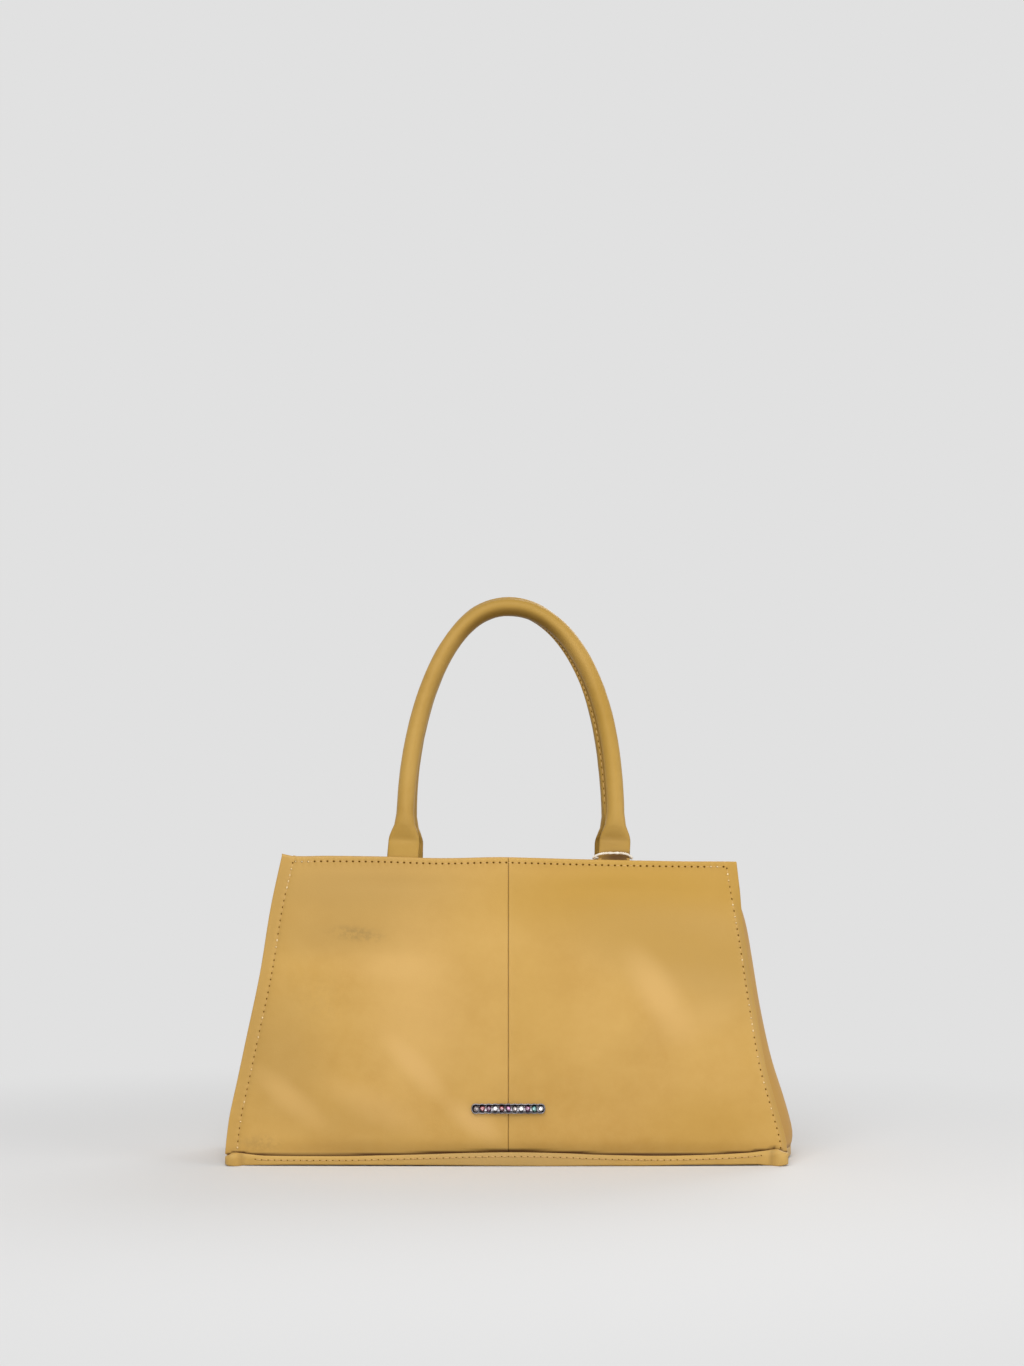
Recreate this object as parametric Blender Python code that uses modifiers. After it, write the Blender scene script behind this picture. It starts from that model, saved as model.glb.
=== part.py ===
"""A mini bag: a small tapered tote with two rolled handles, built from the pieces it is sewn from.

Metres, +Z up. The bag stands on z = 0, centred on the origin, with its front face toward -Y.
Each wall of the body has a frame of its own: x runs along the wall, y is the depth inward from
the wall's outer face, and z climbs the slope of the wall.
"""
import math

import bmesh
import bpy
from mathutils import Vector

# The body, over the leather.
body_height = 0.1665
base_half_width = 0.1515
top_half_width = 0.1238
base_half_depth = 0.045
top_half_depth = 0.030

# Materials of the sewn shell.
clearance = 0.0003
leather = 0.0016
facing_leather = 0.0012
band_thickness = 0.0024
cloth = 0.0008
board_thickness = 0.0020

# Seams.
seam_margin = 0.0075
corner_radius = 0.0020
seam_tape_width = 0.012
seam_tape_thickness = 0.0004
gusset_bulge = 0.0050

# Swell of the front and rear panels, which stand out between their sewn edges. It is level behind
# the bar of stones, and fullest above it.
belly = 0.0045
bar_stand = 0.0025
flat_margin = 0.0015
belly_margin = 0.0020
# Shares of the way up from the bar to the band, each with its share of the belly.
belly_rise_share = ((0.30, 1.0), (0.55, 0.90), (0.80, 0.45), (1.0, 0.0))
# Shares of the way out from the bar's end to the side seam, each with its share of the swell.
belly_across_share = ((0.0, 1.0), (0.35, 0.94), (0.65, 0.72), (0.85, 0.40), (1.0, 0.0))

# Base leather, turned up over the lower edge of the panels.
base_overhang = 0.0013
base_lap = 0.0065
base_edge_radius = 0.0014

# Top edge.
band_depth = 0.025
facing_depth = 0.032

# Handles.
handle_rise = 0.1429
handle_half_span = 0.0580
handle_straight = 0.0187
handle_radius = 0.0049
handle_wall = 0.0010
handle_gap = 0.0008
arch_power = 2.1
# The tab swells into the round tube between these shares of the straight leg.
flat_share = 0.45
round_share = 1.15
swell_share = 1.15
tab_half_width = 0.00865
tab_half_thickness = 0.0014
tab_start = 0.0010
anchor_depth = 0.022
anchor_corner = 0.004
core_start = 0.0205

# Loop of string round one tab.
string_radius = 0.0005
string_height = 0.0034
string_bow = 0.0016

# Bar of stones on the front.
plaque_half_length = 0.0200
plaque_half_height = 0.00275
plaque_thickness = 0.0016
plaque_height_on_wall = 0.0306
stone_radius = 0.0014
stone_table = 0.0008
stone_height = 0.0012
stone_pitch = 0.0035
stone_count = 11
plaque_end_share = 0.9
cup_depth = 0.0007
prong_width = 0.0020
prong_thickness = 0.0008
prong_offset = 0.0130
backing_half_length = 0.0165
backing_thickness = 0.0008
prong_end = 0.0002

# Magnetic snap.
snap_radius = 0.0090
snap_drop = 0.0165
socket_thickness = 0.0028
socket_bore = 0.0031
socket_bore_depth = 0.0020
post_thickness = 0.0016
post_radius = 0.0026
post_length = 0.0020
washer_half_length = 0.0100
washer_half_height = 0.0045
washer_thickness = 0.0009
snap_prong_width = 0.0024
snap_prong_thickness = 0.0006
snap_prong_offset = 0.0052
snap_prong_end = 0.0004

# Zip pocket on the rear lining.
zip_half_length = 0.0650
zip_drop = 0.0552
zip_window_margin = 0.0035
zip_window_half_height = 0.0055
zip_tape_width = 0.0110
zip_tape_thickness = 0.0006
zip_tape_overrun = 0.0060
chain_half_width = 0.00225
chain_bite = 0.00075
chain_pitch = 0.0030
chain_thickness = 0.0020
stop_length = 0.0024
slider_length = 0.0085
slider_plate = 0.0010
slider_wall = 0.0012
bail_radius = 0.0006
bail_lift = 0.0012
bail_half_span = 0.0026
bail_post = 0.0010
bail_bar_share = 0.8
pull_barrel_wall = 0.0008
pull_barrel_half_length = 0.0018
pull_length = 0.0200
pull_half_width = 0.0022
pull_thickness = 0.0010
pocket_bag_half_width = 0.075
pocket_bag_rise = 0.0185
pocket_bag_thickness = 0.0006

# Slip pocket on the front lining.
slip_half_width = 0.060
slip_rise = 0.0330
slip_drop = 0.0550

# Facets of round shapes.
tube_sides = 12
turned_steps = 24
arch_steps = 12

# Everything above is a size. What follows from it:
front_lean = math.atan((base_half_depth - top_half_depth) / body_height)
side_lean = math.atan((base_half_width - top_half_width) / body_height)
front_slope = body_height / math.cos(front_lean)
side_slope = body_height / math.cos(side_lean)
panel_foot = leather + clearance
board_top = panel_foot + board_thickness
floor_cloth_foot = board_top + clearance
floor_cloth_top = floor_cloth_foot + cloth
lining_foot = floor_cloth_top + clearance
under_panel = leather + clearance
facing_depth_in = under_panel + band_thickness + clearance
lining_depth_in = facing_depth_in - clearance - cloth
facing_inner = facing_depth_in + facing_leather
pocket_depth_in = under_panel + seam_tape_thickness + clearance
inner_inset = seam_margin + clearance
base_half_length = base_half_width + base_overhang
zip_height_on_wall = front_slope - zip_drop
belly_foot = base_lap + leather + clearance
belly_top = front_slope - band_depth - clearance
bar_reach_up = plaque_half_height + flat_margin
bar_reach_across = plaque_half_length + flat_margin


def half_width_at(height):
    return base_half_width + (top_half_width - base_half_width) * height / body_height


def half_depth_at(height):
    return base_half_depth + (top_half_depth - base_half_depth) * height / body_height


# Scene, collections and materials

def clear_scene():
    for old in list(bpy.data.objects):
        bpy.data.objects.remove(old, do_unlink=True)


def new_collection(name):
    made = bpy.data.collections.new(name)
    bpy.context.scene.collection.children.link(made)
    return made


def finish_of(name, colour, roughness, metallic=0.0):
    made = bpy.data.materials.new(name)
    made.use_nodes = True
    shader = made.node_tree.nodes["Principled BSDF"]
    shader.inputs["Base Color"].default_value = (*colour, 1.0)
    shader.inputs["Roughness"].default_value = roughness
    shader.inputs["Metallic"].default_value = metallic
    made.diffuse_color = (*colour, 1.0)
    return made


clear_scene()
parts = new_collection("mini_bag")
cutters = new_collection("cutters")

camel_leather = finish_of("camel_leather", (0.66, 0.40, 0.13), 0.48)
facing_finish = finish_of("facing_leather", (0.60, 0.36, 0.12), 0.50)
lining_finish = finish_of("lining_cloth", (0.42, 0.30, 0.18), 0.85)
board_finish = finish_of("grey_board", (0.35, 0.33, 0.30), 0.90)
band_finish = finish_of("stiff_band", (0.70, 0.68, 0.62), 0.85)
cord_finish = finish_of("cotton_cord", (0.80, 0.77, 0.70), 0.90)
string_finish = finish_of("white_string", (0.88, 0.87, 0.84), 0.80)
gunmetal = finish_of("gunmetal", (0.20, 0.20, 0.22), 0.30, 1.0)
stone_finish = finish_of("cut_stones", (0.25, 0.10, 0.22), 0.05)
snap_finish = finish_of("nickel", (0.62, 0.60, 0.57), 0.25, 1.0)
zip_metal = finish_of("zip_metal", (0.36, 0.33, 0.30), 0.30, 1.0)
zip_cloth = finish_of("zip_cloth", (0.48, 0.33, 0.14), 0.85)


# Frames that carry the pieces

def add_frame(name, location, rotation):
    frame = bpy.data.objects.new(name, None)
    frame.location = location
    frame.rotation_euler = rotation
    parts.objects.link(frame)
    return frame


def wall_frame(name, turn, distance, lean):
    place = (distance * math.sin(turn), -distance * math.cos(turn), 0)
    return add_frame(name, place, (-lean, 0, turn))


front_wall = wall_frame("front_wall", 0, base_half_depth, front_lean)
rear_wall = wall_frame("rear_wall", math.pi, base_half_depth, front_lean)
left_wall = wall_frame("left_wall", -math.pi / 2, base_half_width, side_lean)
right_wall = wall_frame("right_wall", math.pi / 2, base_half_width, side_lean)


# Ways of making a piece

def add_piece(name, data, parent, finish, collection=parts):
    piece = bpy.data.objects.new(name, data)
    if finish is not None:
        data.materials.append(finish)
    piece.parent = parent
    collection.objects.link(piece)
    return piece


def rounded(corners, steps=4):
    """Points of a closed outline from (x, y, corner radius)."""
    points = []
    count = len(corners)
    for index, (x, y, radius) in enumerate(corners):
        here = Vector((x, y))
        if radius == 0:
            points.append(here)
            continue
        back = Vector(corners[index - 1][:2]) - here
        ahead = Vector(corners[(index + 1) % count][:2]) - here
        back.normalize()
        ahead.normalize()
        half_angle = back.angle(ahead) / 2
        centre = here + (back + ahead).normalized() * radius / math.sin(half_angle)
        reach = radius / math.tan(half_angle)
        first = here + back * reach - centre
        turn = first.angle_signed(here + ahead * reach - centre)
        for step in range(steps + 1):
            share = step / steps
            angle = -turn * share
            points.append(centre + Vector((
                first.x * math.cos(angle) - first.y * math.sin(angle),
                first.x * math.sin(angle) + first.y * math.cos(angle),
            )))
    return points


def rectangle(x_low, x_high, y_low, y_high, radius=0):
    return rounded([(x_low, y_low, radius), (x_high, y_low, radius),
                    (x_high, y_high, radius), (x_low, y_high, radius)])


def outline_curve(name, loops, thickness):
    """A flat curve with its holes, filled on both sides and half its thickness to each side."""
    curve = bpy.data.curves.new(name, "CURVE")
    curve.dimensions = "2D"
    curve.fill_mode = "BOTH"
    curve.extrude = thickness / 2
    for loop in loops:
        spline = curve.splines.new("POLY")
        spline.points.add(len(loop) - 1)
        for point, (x, y) in zip(spline.points, loop):
            point.co = (x, y, 0, 1)
        spline.use_cyclic_u = True
    return curve


def wall_plate(name, loops, thickness, depth, wall, finish, solid=False):
    """A plate whose outer face lies at that depth in the wall. A solid one can be cut and joined."""
    plate = add_piece(name, outline_curve(name, loops, thickness), wall, finish)
    plate.rotation_euler = (math.pi / 2, 0, 0)
    plate.location = (0, depth + thickness / 2, 0)
    if not solid:
        return plate
    return as_mesh(plate)


def as_mesh(curved):
    """The same piece as a welded mesh."""
    bpy.context.view_layer.update()
    graph = bpy.context.evaluated_depsgraph_get()
    mesh = bpy.data.meshes.new_from_object(curved.evaluated_get(graph))
    weld = bmesh.new()
    weld.from_mesh(mesh)
    bmesh.ops.remove_doubles(weld, verts=weld.verts, dist=clearance / 100)
    weld.to_mesh(mesh)
    weld.free()
    name = curved.name
    parent = curved.parent
    place = curved.matrix_basis.copy()
    bpy.data.objects.remove(curved, do_unlink=True)
    piece = bpy.data.objects.new(name, mesh)
    piece.parent = parent
    piece.matrix_basis = place
    parts.objects.link(piece)
    return piece


def box_into(mesh, centre, size):
    made = bmesh.ops.create_cube(mesh, size=1)
    bmesh.ops.scale(mesh, vec=size, verts=made["verts"])
    bmesh.ops.translate(mesh, vec=centre, verts=made["verts"])


def boxes(name, list_of_boxes, parent, finish, collection=parts):
    """One object of separate boxes, each (centre, size) in its parent's frame."""
    mesh = bmesh.new()
    for centre, size in list_of_boxes:
        box_into(mesh, centre, size)
    data = bpy.data.meshes.new(name)
    mesh.to_mesh(data)
    mesh.free()
    return add_piece(name, data, parent, finish, collection)


def hide_cutter(cutter):
    cutter.hide_render = True
    cutter.display_type = "WIRE"
    return cutter


def box_cutter(name, list_of_boxes, parent):
    return hide_cutter(boxes(name, list_of_boxes, parent, None, cutters))


def combine(piece, other, operation):
    modifier = piece.modifiers.new(other.name, "BOOLEAN")
    modifier.operation = operation
    modifier.object = other


def turned(name, profile, parent, finish, steps=turned_steps, collection=parts):
    """A closed profile of (radius, height), run down its outer side, turned about the local z."""
    mesh = bpy.data.meshes.new(name)
    count = len(profile)
    points = [(radius, 0, height) for radius, height in profile]
    edges = [(index, (index + 1) % count) for index in range(count)]
    if profile[0][0] == 0 and profile[-1][0] == 0:
        edges = edges[:-1]
    mesh.from_pydata(points, edges, [])
    piece = add_piece(name, mesh, parent, finish, collection)
    screw = piece.modifiers.new("turn", "SCREW")
    screw.axis = "Z"
    screw.angle = math.tau
    screw.steps = steps
    screw.render_steps = steps
    screw.use_merge_vertices = True
    screw.merge_threshold = clearance / 100
    return piece


def sheet(name, rows, parent, finish, thickness, offset):
    """An open grid of points, made solid to one side of it."""
    width = len(rows[0])
    points = [point for row in rows for point in row]
    faces = []
    for row in range(len(rows) - 1):
        for column in range(width - 1):
            corner = row * width + column
            faces.append((corner, corner + 1, corner + width + 1, corner + width))
    mesh = bpy.data.meshes.new(name)
    mesh.from_pydata(points, [], faces)
    piece = add_piece(name, mesh, parent, finish)
    solid = piece.modifiers.new("thickness", "SOLIDIFY")
    solid.thickness = thickness
    solid.offset = offset
    solid.use_even_offset = True
    return piece


def swollen_plate(name, rows, thickness, depth, wall, finish):
    """A plate from rows of (across, up, out), low to high and left to right, even in its wall's depth."""
    width = len(rows[0])
    front = [(across, depth - out, up) for row in rows for across, up, out in row]
    back = [(across, depth + thickness - out, up) for row in rows for across, up, out in row]
    count = len(front)
    faces = []
    for corner in range(count - width):
        if corner % width == width - 1:
            continue
        quad = (corner, corner + 1, corner + width + 1, corner + width)
        faces.append(quad)
        faces.append(tuple(index + count for index in reversed(quad)))
    rim = list(range(width)) + list(range(2 * width - 1, count, width))
    rim += list(range(count - 2, count - width - 1, -1)) + list(range(count - 2 * width, 0, -width))
    for here, after in zip(rim, rim[1:] + rim[:1]):
        faces.append((here, here + count, after + count, after))
    mesh = bpy.data.meshes.new(name)
    mesh.from_pydata(front + back, [], faces)
    return add_piece(name, mesh, wall, finish)


# Front and rear panels: two halves each, sewn together down the middle

def wall_edge(height_on_slope, inset):
    return half_width_at(height_on_slope * math.cos(front_lean)) - inset


def belly_line():
    """Heights on the wall, each with how far the panels stand out there beside the middle seam."""
    bar_low = plaque_height_on_wall - bar_reach_up
    bar_high = plaque_height_on_wall + bar_reach_up
    line = [(panel_foot, 0), (belly_foot, 0), (bar_low, bar_stand), (bar_high, bar_stand)]
    line += [(bar_high + (belly_top - bar_high) * share, belly * out) for share, out in belly_rise_share]
    return line + [(front_slope, 0)]


def stand_out(up):
    line = belly_line()
    for (low, low_out), (high, high_out) in zip(line, line[1:]):
        if up <= high:
            return low_out + (high_out - low_out) * (up - low) / (high - low)
    return 0


def half_panel_row(side, up):
    """One row of a half panel from left to right: level behind the bar, then out to the side seam."""
    sewn = wall_edge(up, seam_margin + belly_margin)
    row = [(side * clearance / 2, up, stand_out(up))]
    for share, out in belly_across_share:
        across = bar_reach_across + (sewn - bar_reach_across) * share
        row.append((side * across, up, stand_out(up) * out))
    row.append((side * wall_edge(up, 0), up, 0))
    return sorted(row)


def full_outline(low, high, inset):
    return rounded([(-wall_edge(low, inset), low, 0), (wall_edge(low, inset), low, 0),
                    (wall_edge(high, inset), high, 0), (-wall_edge(high, inset), high, 0)])


def prong_slot(side, offset, height, width, thickness):
    return rectangle(side * offset - width / 2 - clearance, side * offset + width / 2 + clearance,
                     height - thickness / 2 - clearance, height + thickness / 2 + clearance)


def hand_in_world(wall, hand):
    """The rear wall's frame is turned round, so its left is the bag's right."""
    if wall is front_wall:
        return hand
    return {"left": "right", "right": "left"}[hand]


def panels():
    for wall, word in ((front_wall, "front"), (rear_wall, "rear")):
        for side, hand in ((-1, "left"), (1, "right")):
            name = f"{word}_panel_{hand_in_world(wall, hand)}"
            rows = [half_panel_row(side, up) for up, _ in belly_line()]
            panel = swollen_plate(name, rows, leather, 0, wall, camel_leather)
            if wall is front_wall:
                slot = box_cutter(f"{name}_slot", [
                    ((side * prong_offset, leather / 2 - bar_stand, plaque_height_on_wall),
                     (prong_width + 2 * clearance, 2 * leather, prong_thickness + 2 * clearance))], wall)
                combine(panel, slot, "DIFFERENCE")


def seam_tapes():
    """Each tape covers the seam from the board, or from the stone bar's backing plate, to the band."""
    half = seam_tape_width / 2
    over_plate = plaque_height_on_wall + plaque_half_height + clearance
    for word, wall, low in (("front", front_wall, over_plate), ("rear", rear_wall, board_top)):
        heights = [low] + [up for up, _ in belly_line() if low < up < belly_top] + [belly_top]
        rows = [[(-half, up, stand_out(up)), (half, up, stand_out(up))] for up in heights]
        swollen_plate(f"seam_tape_{word}", rows, seam_tape_thickness, under_panel, wall, band_finish)


# Gussets: one bent strip each, with a margin at both edges that is sewn behind the panels

def gusset(name, side):
    rise_steps = 7
    web_steps = 6
    foot = panel_foot
    rows = []
    for step in range(rise_steps + 1):
        height = foot + (body_height - foot) * step / rise_steps
        edge = half_width_at(height)
        face = half_depth_at(height) - under_panel / math.cos(front_lean)
        web = edge - seam_margin
        bulge = gusset_bulge * math.sin(math.pi * step / rise_steps)
        row = [(side * edge, -face, height), (side * web, -face, height)]
        for part in range(1, web_steps):
            across = -face + 2 * face * part / web_steps
            out = bulge * (1 - (across / face) ** 2)
            row.append((side * (web + out), across, height))
        row.append((side * web, face, height))
        row.append((side * edge, face, height))
        rows.append(row)
    # The grid faces out of the bag on the right and into it on the left.
    sheet(name, rows, None, camel_leather, leather, side)


# Base: the leather tray, and the board that stiffens it

def base():
    outer = base_half_depth + clearance + leather
    inner = base_half_depth + clearance
    profile = rounded([
        (-outer, 0, base_edge_radius), (outer, 0, base_edge_radius), (outer, base_lap, 0),
        (inner, base_lap, 0), (inner, leather, 0), (-inner, leather, 0), (-inner, base_lap, 0),
        (-outer, base_lap, 0)])
    tray = add_piece("base_panel", outline_curve("base_panel", [profile], 2 * base_half_length),
                     None, camel_leather)
    # The profile's x runs along the bag's depth, and the curve's own depth along its width.
    tray.rotation_euler = (math.pi / 2, 0, math.pi / 2)
    tray = as_mesh(tray)
    web_foot = half_width_at(0) - seam_margin + leather
    end_x = web_foot + clearance + leather / 2
    end_half = base_half_depth - 2 * (leather + clearance) / math.cos(front_lean) - leather
    end_centre_z = (leather / 2 + base_lap) / 2
    end_size = (leather, 2 * end_half, base_lap - leather / 2)
    ends = hide_cutter(boxes("base_ends", [((side * end_x, 0, end_centre_z), end_size) for side in (-1, 1)],
                             None, camel_leather, cutters))
    combine(tray, ends, "UNION")
    reach_x = half_width_at(board_top) - inner_inset
    reach_y = half_depth_at(board_top) - under_panel / math.cos(front_lean) - clearance - leather
    boxes("base_board", [((0, 0, panel_foot + board_thickness / 2),
                          (2 * reach_x, 2 * reach_y, board_thickness))], None, board_finish)


# Top edge: a stiff band in the fold of each panel, notched for the handle tabs and the snap

def snap_height():
    return front_slope - snap_drop


def band(name, wall):
    low = front_slope - band_depth
    notch = tab_half_width + clearance
    notch_low = front_slope - anchor_depth - clearance
    corners = [(-wall_edge(low, inner_inset), low, 0), (wall_edge(low, inner_inset), low, 0),
               (wall_edge(front_slope, inner_inset), front_slope, 0)]
    for side in (1, -1):
        middle = side * handle_half_span
        first = middle + notch
        last = middle - notch
        corners += [(first, front_slope, 0), (first, notch_low, anchor_corner),
                    (last, notch_low, anchor_corner), (last, front_slope, 0)]
    corners.append((-wall_edge(front_slope, inner_inset), front_slope, 0))
    window = rectangle(-washer_half_length - clearance, washer_half_length + clearance,
                       snap_height() - washer_half_height - clearance,
                       snap_height() + washer_half_height + clearance)
    wall_plate(name, [rounded(corners), window], band_thickness, under_panel, wall, band_finish)


def anchors(word, wall):
    for side, hand in ((-1, "left"), (1, "right")):
        middle = side * handle_half_span
        low = front_slope - anchor_depth
        first = middle - tab_half_width
        last = middle + tab_half_width
        loop = rounded([(first, low, anchor_corner), (last, low, anchor_corner),
                        (last, front_slope, 0), (first, front_slope, 0)])
        wall_plate(f"handle_anchor_{word}_{hand_in_world(wall, hand)}", [loop], band_thickness,
                   under_panel, wall, camel_leather)


# Facings: the leather inside the mouth

def snap_slots():
    return [prong_slot(side, snap_prong_offset, snap_height(), snap_prong_thickness, snap_prong_width)
            for side in (-1, 1)]


def side_inset_depth():
    return inner_inset * math.cos(side_lean)


def side_half(height_on_slope, depth):
    """Half the length of a side wall's piece that fits between two front and rear depths."""
    height = height_on_slope * math.cos(side_lean)
    return half_depth_at(height) - depth / math.cos(front_lean) - clearance


def side_outline(low, high, depth):
    return rounded([(-side_half(low, depth), low, 0), (side_half(low, depth), low, 0),
                    (side_half(high, depth), high, 0), (-side_half(high, depth), high, 0)])


def facings():
    low = front_slope - facing_depth
    for wall, word in ((front_wall, "front"), (rear_wall, "rear")):
        loops = [full_outline(low, front_slope, inner_inset)] + snap_slots()
        wall_plate(f"facing_{word}", loops, facing_leather, facing_depth_in, wall, facing_finish)
    low = side_slope - facing_depth
    for wall, word in ((left_wall, "left"), (right_wall, "right")):
        loop = side_outline(low, side_slope, facing_inner)
        wall_plate(f"facing_{word}", [loop], facing_leather, side_inset_depth(), wall, facing_finish)


# Lining: five panels of cloth, the rear one with the window of the zip pocket

def zip_window():
    reach = zip_half_length + zip_window_margin
    return rectangle(-reach, reach, zip_height_on_wall - zip_window_half_height,
                     zip_height_on_wall + zip_window_half_height)


def lining():
    low = lining_foot + clearance
    high = front_slope - band_depth - clearance
    for wall, word in ((front_wall, "front"), (rear_wall, "rear")):
        loops = [full_outline(low, high, inner_inset)]
        if wall is rear_wall:
            loops.append(zip_window())
        wall_plate(f"lining_{word}", loops, cloth, lining_depth_in, wall, lining_finish)
    low = lining_foot / math.cos(side_lean) + seam_margin * math.tan(side_lean)
    high = side_slope - facing_depth - clearance
    for wall, word in ((left_wall, "left"), (right_wall, "right")):
        loop = side_outline(low, high, lining_depth_in + cloth)
        wall_plate(f"lining_{word}", [loop], cloth, side_inset_depth(), wall, lining_finish)
    reach_x = half_width_at(floor_cloth_top) - inner_inset
    reach_y = half_depth_at(floor_cloth_top) - (lining_depth_in - clearance) / math.cos(front_lean)
    boxes("lining_base", [((0, 0, floor_cloth_foot + cloth / 2), (2 * reach_x, 2 * reach_y, cloth))],
          None, lining_finish)


def slip_pocket():
    loop = rectangle(-slip_half_width, slip_half_width, lining_foot + slip_rise, front_slope - slip_drop)
    wall_plate("slip_pocket", [loop], cloth, lining_depth_in + cloth + clearance, front_wall, lining_finish)


# Zip pocket: its tapes lie behind the window, and the slider runs on the closed chain

def chain_outline():
    """Two rows of teeth that bite into each other, so one edge is half a pitch from the other."""
    teeth = int(2 * zip_half_length / chain_pitch)
    half_length = teeth * chain_pitch / 2
    upper = []
    lower = []
    for tooth in range(teeth):
        start = -half_length + tooth * chain_pitch
        middle = start + chain_pitch / 2
        end = start + chain_pitch
        high = zip_height_on_wall + chain_half_width
        low = zip_height_on_wall - chain_half_width
        upper += [(start, high), (middle, high), (middle, high - chain_bite), (end, high - chain_bite)]
        lower += [(start, low + chain_bite), (middle, low + chain_bite), (middle, low), (end, low)]
    return upper + lower[::-1], half_length


def zip_pocket():
    chain_depth = pocket_depth_in
    chain, half_length = chain_outline()
    wall_plate("zip_teeth", [chain], chain_thickness, chain_depth, rear_wall, zip_metal)
    tape_depth = lining_depth_in - clearance - zip_tape_thickness
    reach = zip_half_length + zip_tape_overrun
    inner = chain_half_width + clearance
    for side, word in ((1, "upper"), (-1, "lower")):
        edges = sorted([zip_height_on_wall + side * inner,
                        zip_height_on_wall + side * (inner + zip_tape_width)])
        wall_plate(f"zip_tape_{word}", [rectangle(-reach, reach, *edges)], zip_tape_thickness, tape_depth,
                   rear_wall, zip_cloth)
    stop_x = half_length + clearance + stop_length / 2
    middle = chain_depth + chain_thickness / 2
    stop_size = (stop_length, chain_thickness, 2 * chain_half_width)
    for side, hand in ((-1, "left"), (1, "right")):
        boxes(f"zip_stop_{hand_in_world(rear_wall, hand)}",
              [((side * stop_x, middle, zip_height_on_wall), stop_size)], rear_wall, zip_metal)
    bag_high = zip_height_on_wall - inner - zip_tape_width - clearance
    loop = rectangle(-pocket_bag_half_width, pocket_bag_half_width, lining_foot + pocket_bag_rise, bag_high,
                     anchor_corner)
    wall_plate("zip_pocket_bag", [loop], pocket_bag_thickness, pocket_depth_in, rear_wall, lining_finish)
    return half_length


def zip_slider(half_length):
    """An upturned channel over the chain, with a bar on two posts for the pull."""
    top = pocket_depth_in + chain_thickness + clearance
    half_channel = chain_half_width + clearance
    outer_half = half_channel + slider_wall
    wall_low = lining_depth_in
    travel_end = half_length - slider_length / 2
    slider_frame = add_frame("slider_frame", (travel_end, 0, zip_height_on_wall), (0, 0, 0))
    slider_frame.parent = rear_wall
    channel = rounded([(-outer_half, wall_low, 0), (-half_channel, wall_low, 0), (-half_channel, top, 0),
                       (half_channel, top, 0), (half_channel, wall_low, 0), (outer_half, wall_low, 0),
                       (outer_half, top + slider_plate, slider_plate / 2),
                       (-outer_half, top + slider_plate, slider_plate / 2)])
    slider = add_piece("zip_slider", outline_curve("zip_slider", [channel], slider_length),
                       slider_frame, zip_metal)
    # The profile's x runs up the wall and its y inward.
    slider.rotation_euler = (0, -math.pi / 2, 0)
    slider = as_mesh(slider)
    plate_top = top + slider_plate
    bar_depth = plate_top + bail_radius + bail_lift
    post_foot = plate_top - slider_plate / 2
    post_depth = bar_depth + bail_radius - post_foot
    posts = hide_cutter(boxes("bail_posts", [
        ((side * bail_half_span, post_foot + post_depth / 2, 0), (bail_post, post_depth, 2 * bail_radius))
        for side in (-1, 1)], slider_frame, zip_metal, cutters))
    combine(slider, posts, "UNION")
    bar_radius = bail_radius * bail_bar_share
    bar = turned("bail_bar", [(0, bail_half_span), (bar_radius, bail_half_span),
                              (bar_radius, -bail_half_span), (0, -bail_half_span)],
                 slider_frame, None, tube_sides, cutters)
    bar.rotation_euler = (0, math.pi / 2, 0)
    bar.location = (0, bar_depth, 0)
    hide_cutter(bar)
    combine(slider, bar, "UNION")
    return slider_frame, bar_depth


def zip_pull(slider_frame, bar_depth):
    """A folded tab whose rolled top turns on the slider's bar. It hangs straight down."""
    pivot = add_frame("pull_pivot", (0, bar_depth, 0), (front_lean, 0, 0))
    pivot.parent = slider_frame
    bore = bail_radius + clearance
    outer = bore + pull_barrel_wall
    barrel = turned("zip_pull", [(bore, pull_barrel_half_length), (outer, pull_barrel_half_length),
                                 (outer, -pull_barrel_half_length), (bore, -pull_barrel_half_length)],
                    pivot, zip_metal, tube_sides)
    barrel.rotation_euler = (0, math.pi / 2, 0)
    top = -bore - pull_barrel_wall / 2
    tab = hide_cutter(boxes("pull_tab", [((0, 0, (top - pull_length) / 2),
                                          (2 * pull_half_width, pull_thickness, pull_length + top))],
                            pivot, zip_metal, cutters))
    combine(barrel, tab, "UNION")


# Magnetic snap: a disc on each facing, its prongs through the facing and a washer behind it

def snap_half(name, wall, profile):
    face = facing_inner + clearance
    disc = turned(name, profile, wall, snap_finish)
    # The profile's height runs inward from the facing.
    disc.rotation_euler = (-math.pi / 2, 0, 0)
    disc.location = (0, face, snap_height())
    prong_depth = face + snap_prong_thickness - snap_prong_end - under_panel
    middle = under_panel + snap_prong_end + prong_depth / 2
    prong_size = (snap_prong_thickness, prong_depth, snap_prong_width)
    prongs = hide_cutter(boxes(f"{name}_prongs", [
        ((side * snap_prong_offset, middle, snap_height()), prong_size) for side in (-1, 1)],
        wall, snap_finish, cutters))
    combine(disc, prongs, "UNION")
    washer = [rectangle(-washer_half_length, washer_half_length, snap_height() - washer_half_height,
                        snap_height() + washer_half_height, corner_radius)] + snap_slots()
    wall_plate(f"{name}_washer", washer, washer_thickness, facing_depth_in - clearance - washer_thickness,
               wall, snap_finish)


def magnetic_snap():
    socket = [(0, socket_thickness - socket_bore_depth), (socket_bore, socket_thickness - socket_bore_depth),
              (socket_bore, socket_thickness), (snap_radius, socket_thickness), (snap_radius, 0), (0, 0)]
    snap_half("snap_socket", front_wall, socket)
    post = [(0, post_thickness + post_length), (post_radius, post_thickness + post_length),
            (post_radius, post_thickness), (snap_radius, post_thickness), (snap_radius, 0), (0, 0)]
    snap_half("snap_post", rear_wall, post)


# Handles: a leather tube over a cord, pressed flat at both ends into a tab

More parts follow.
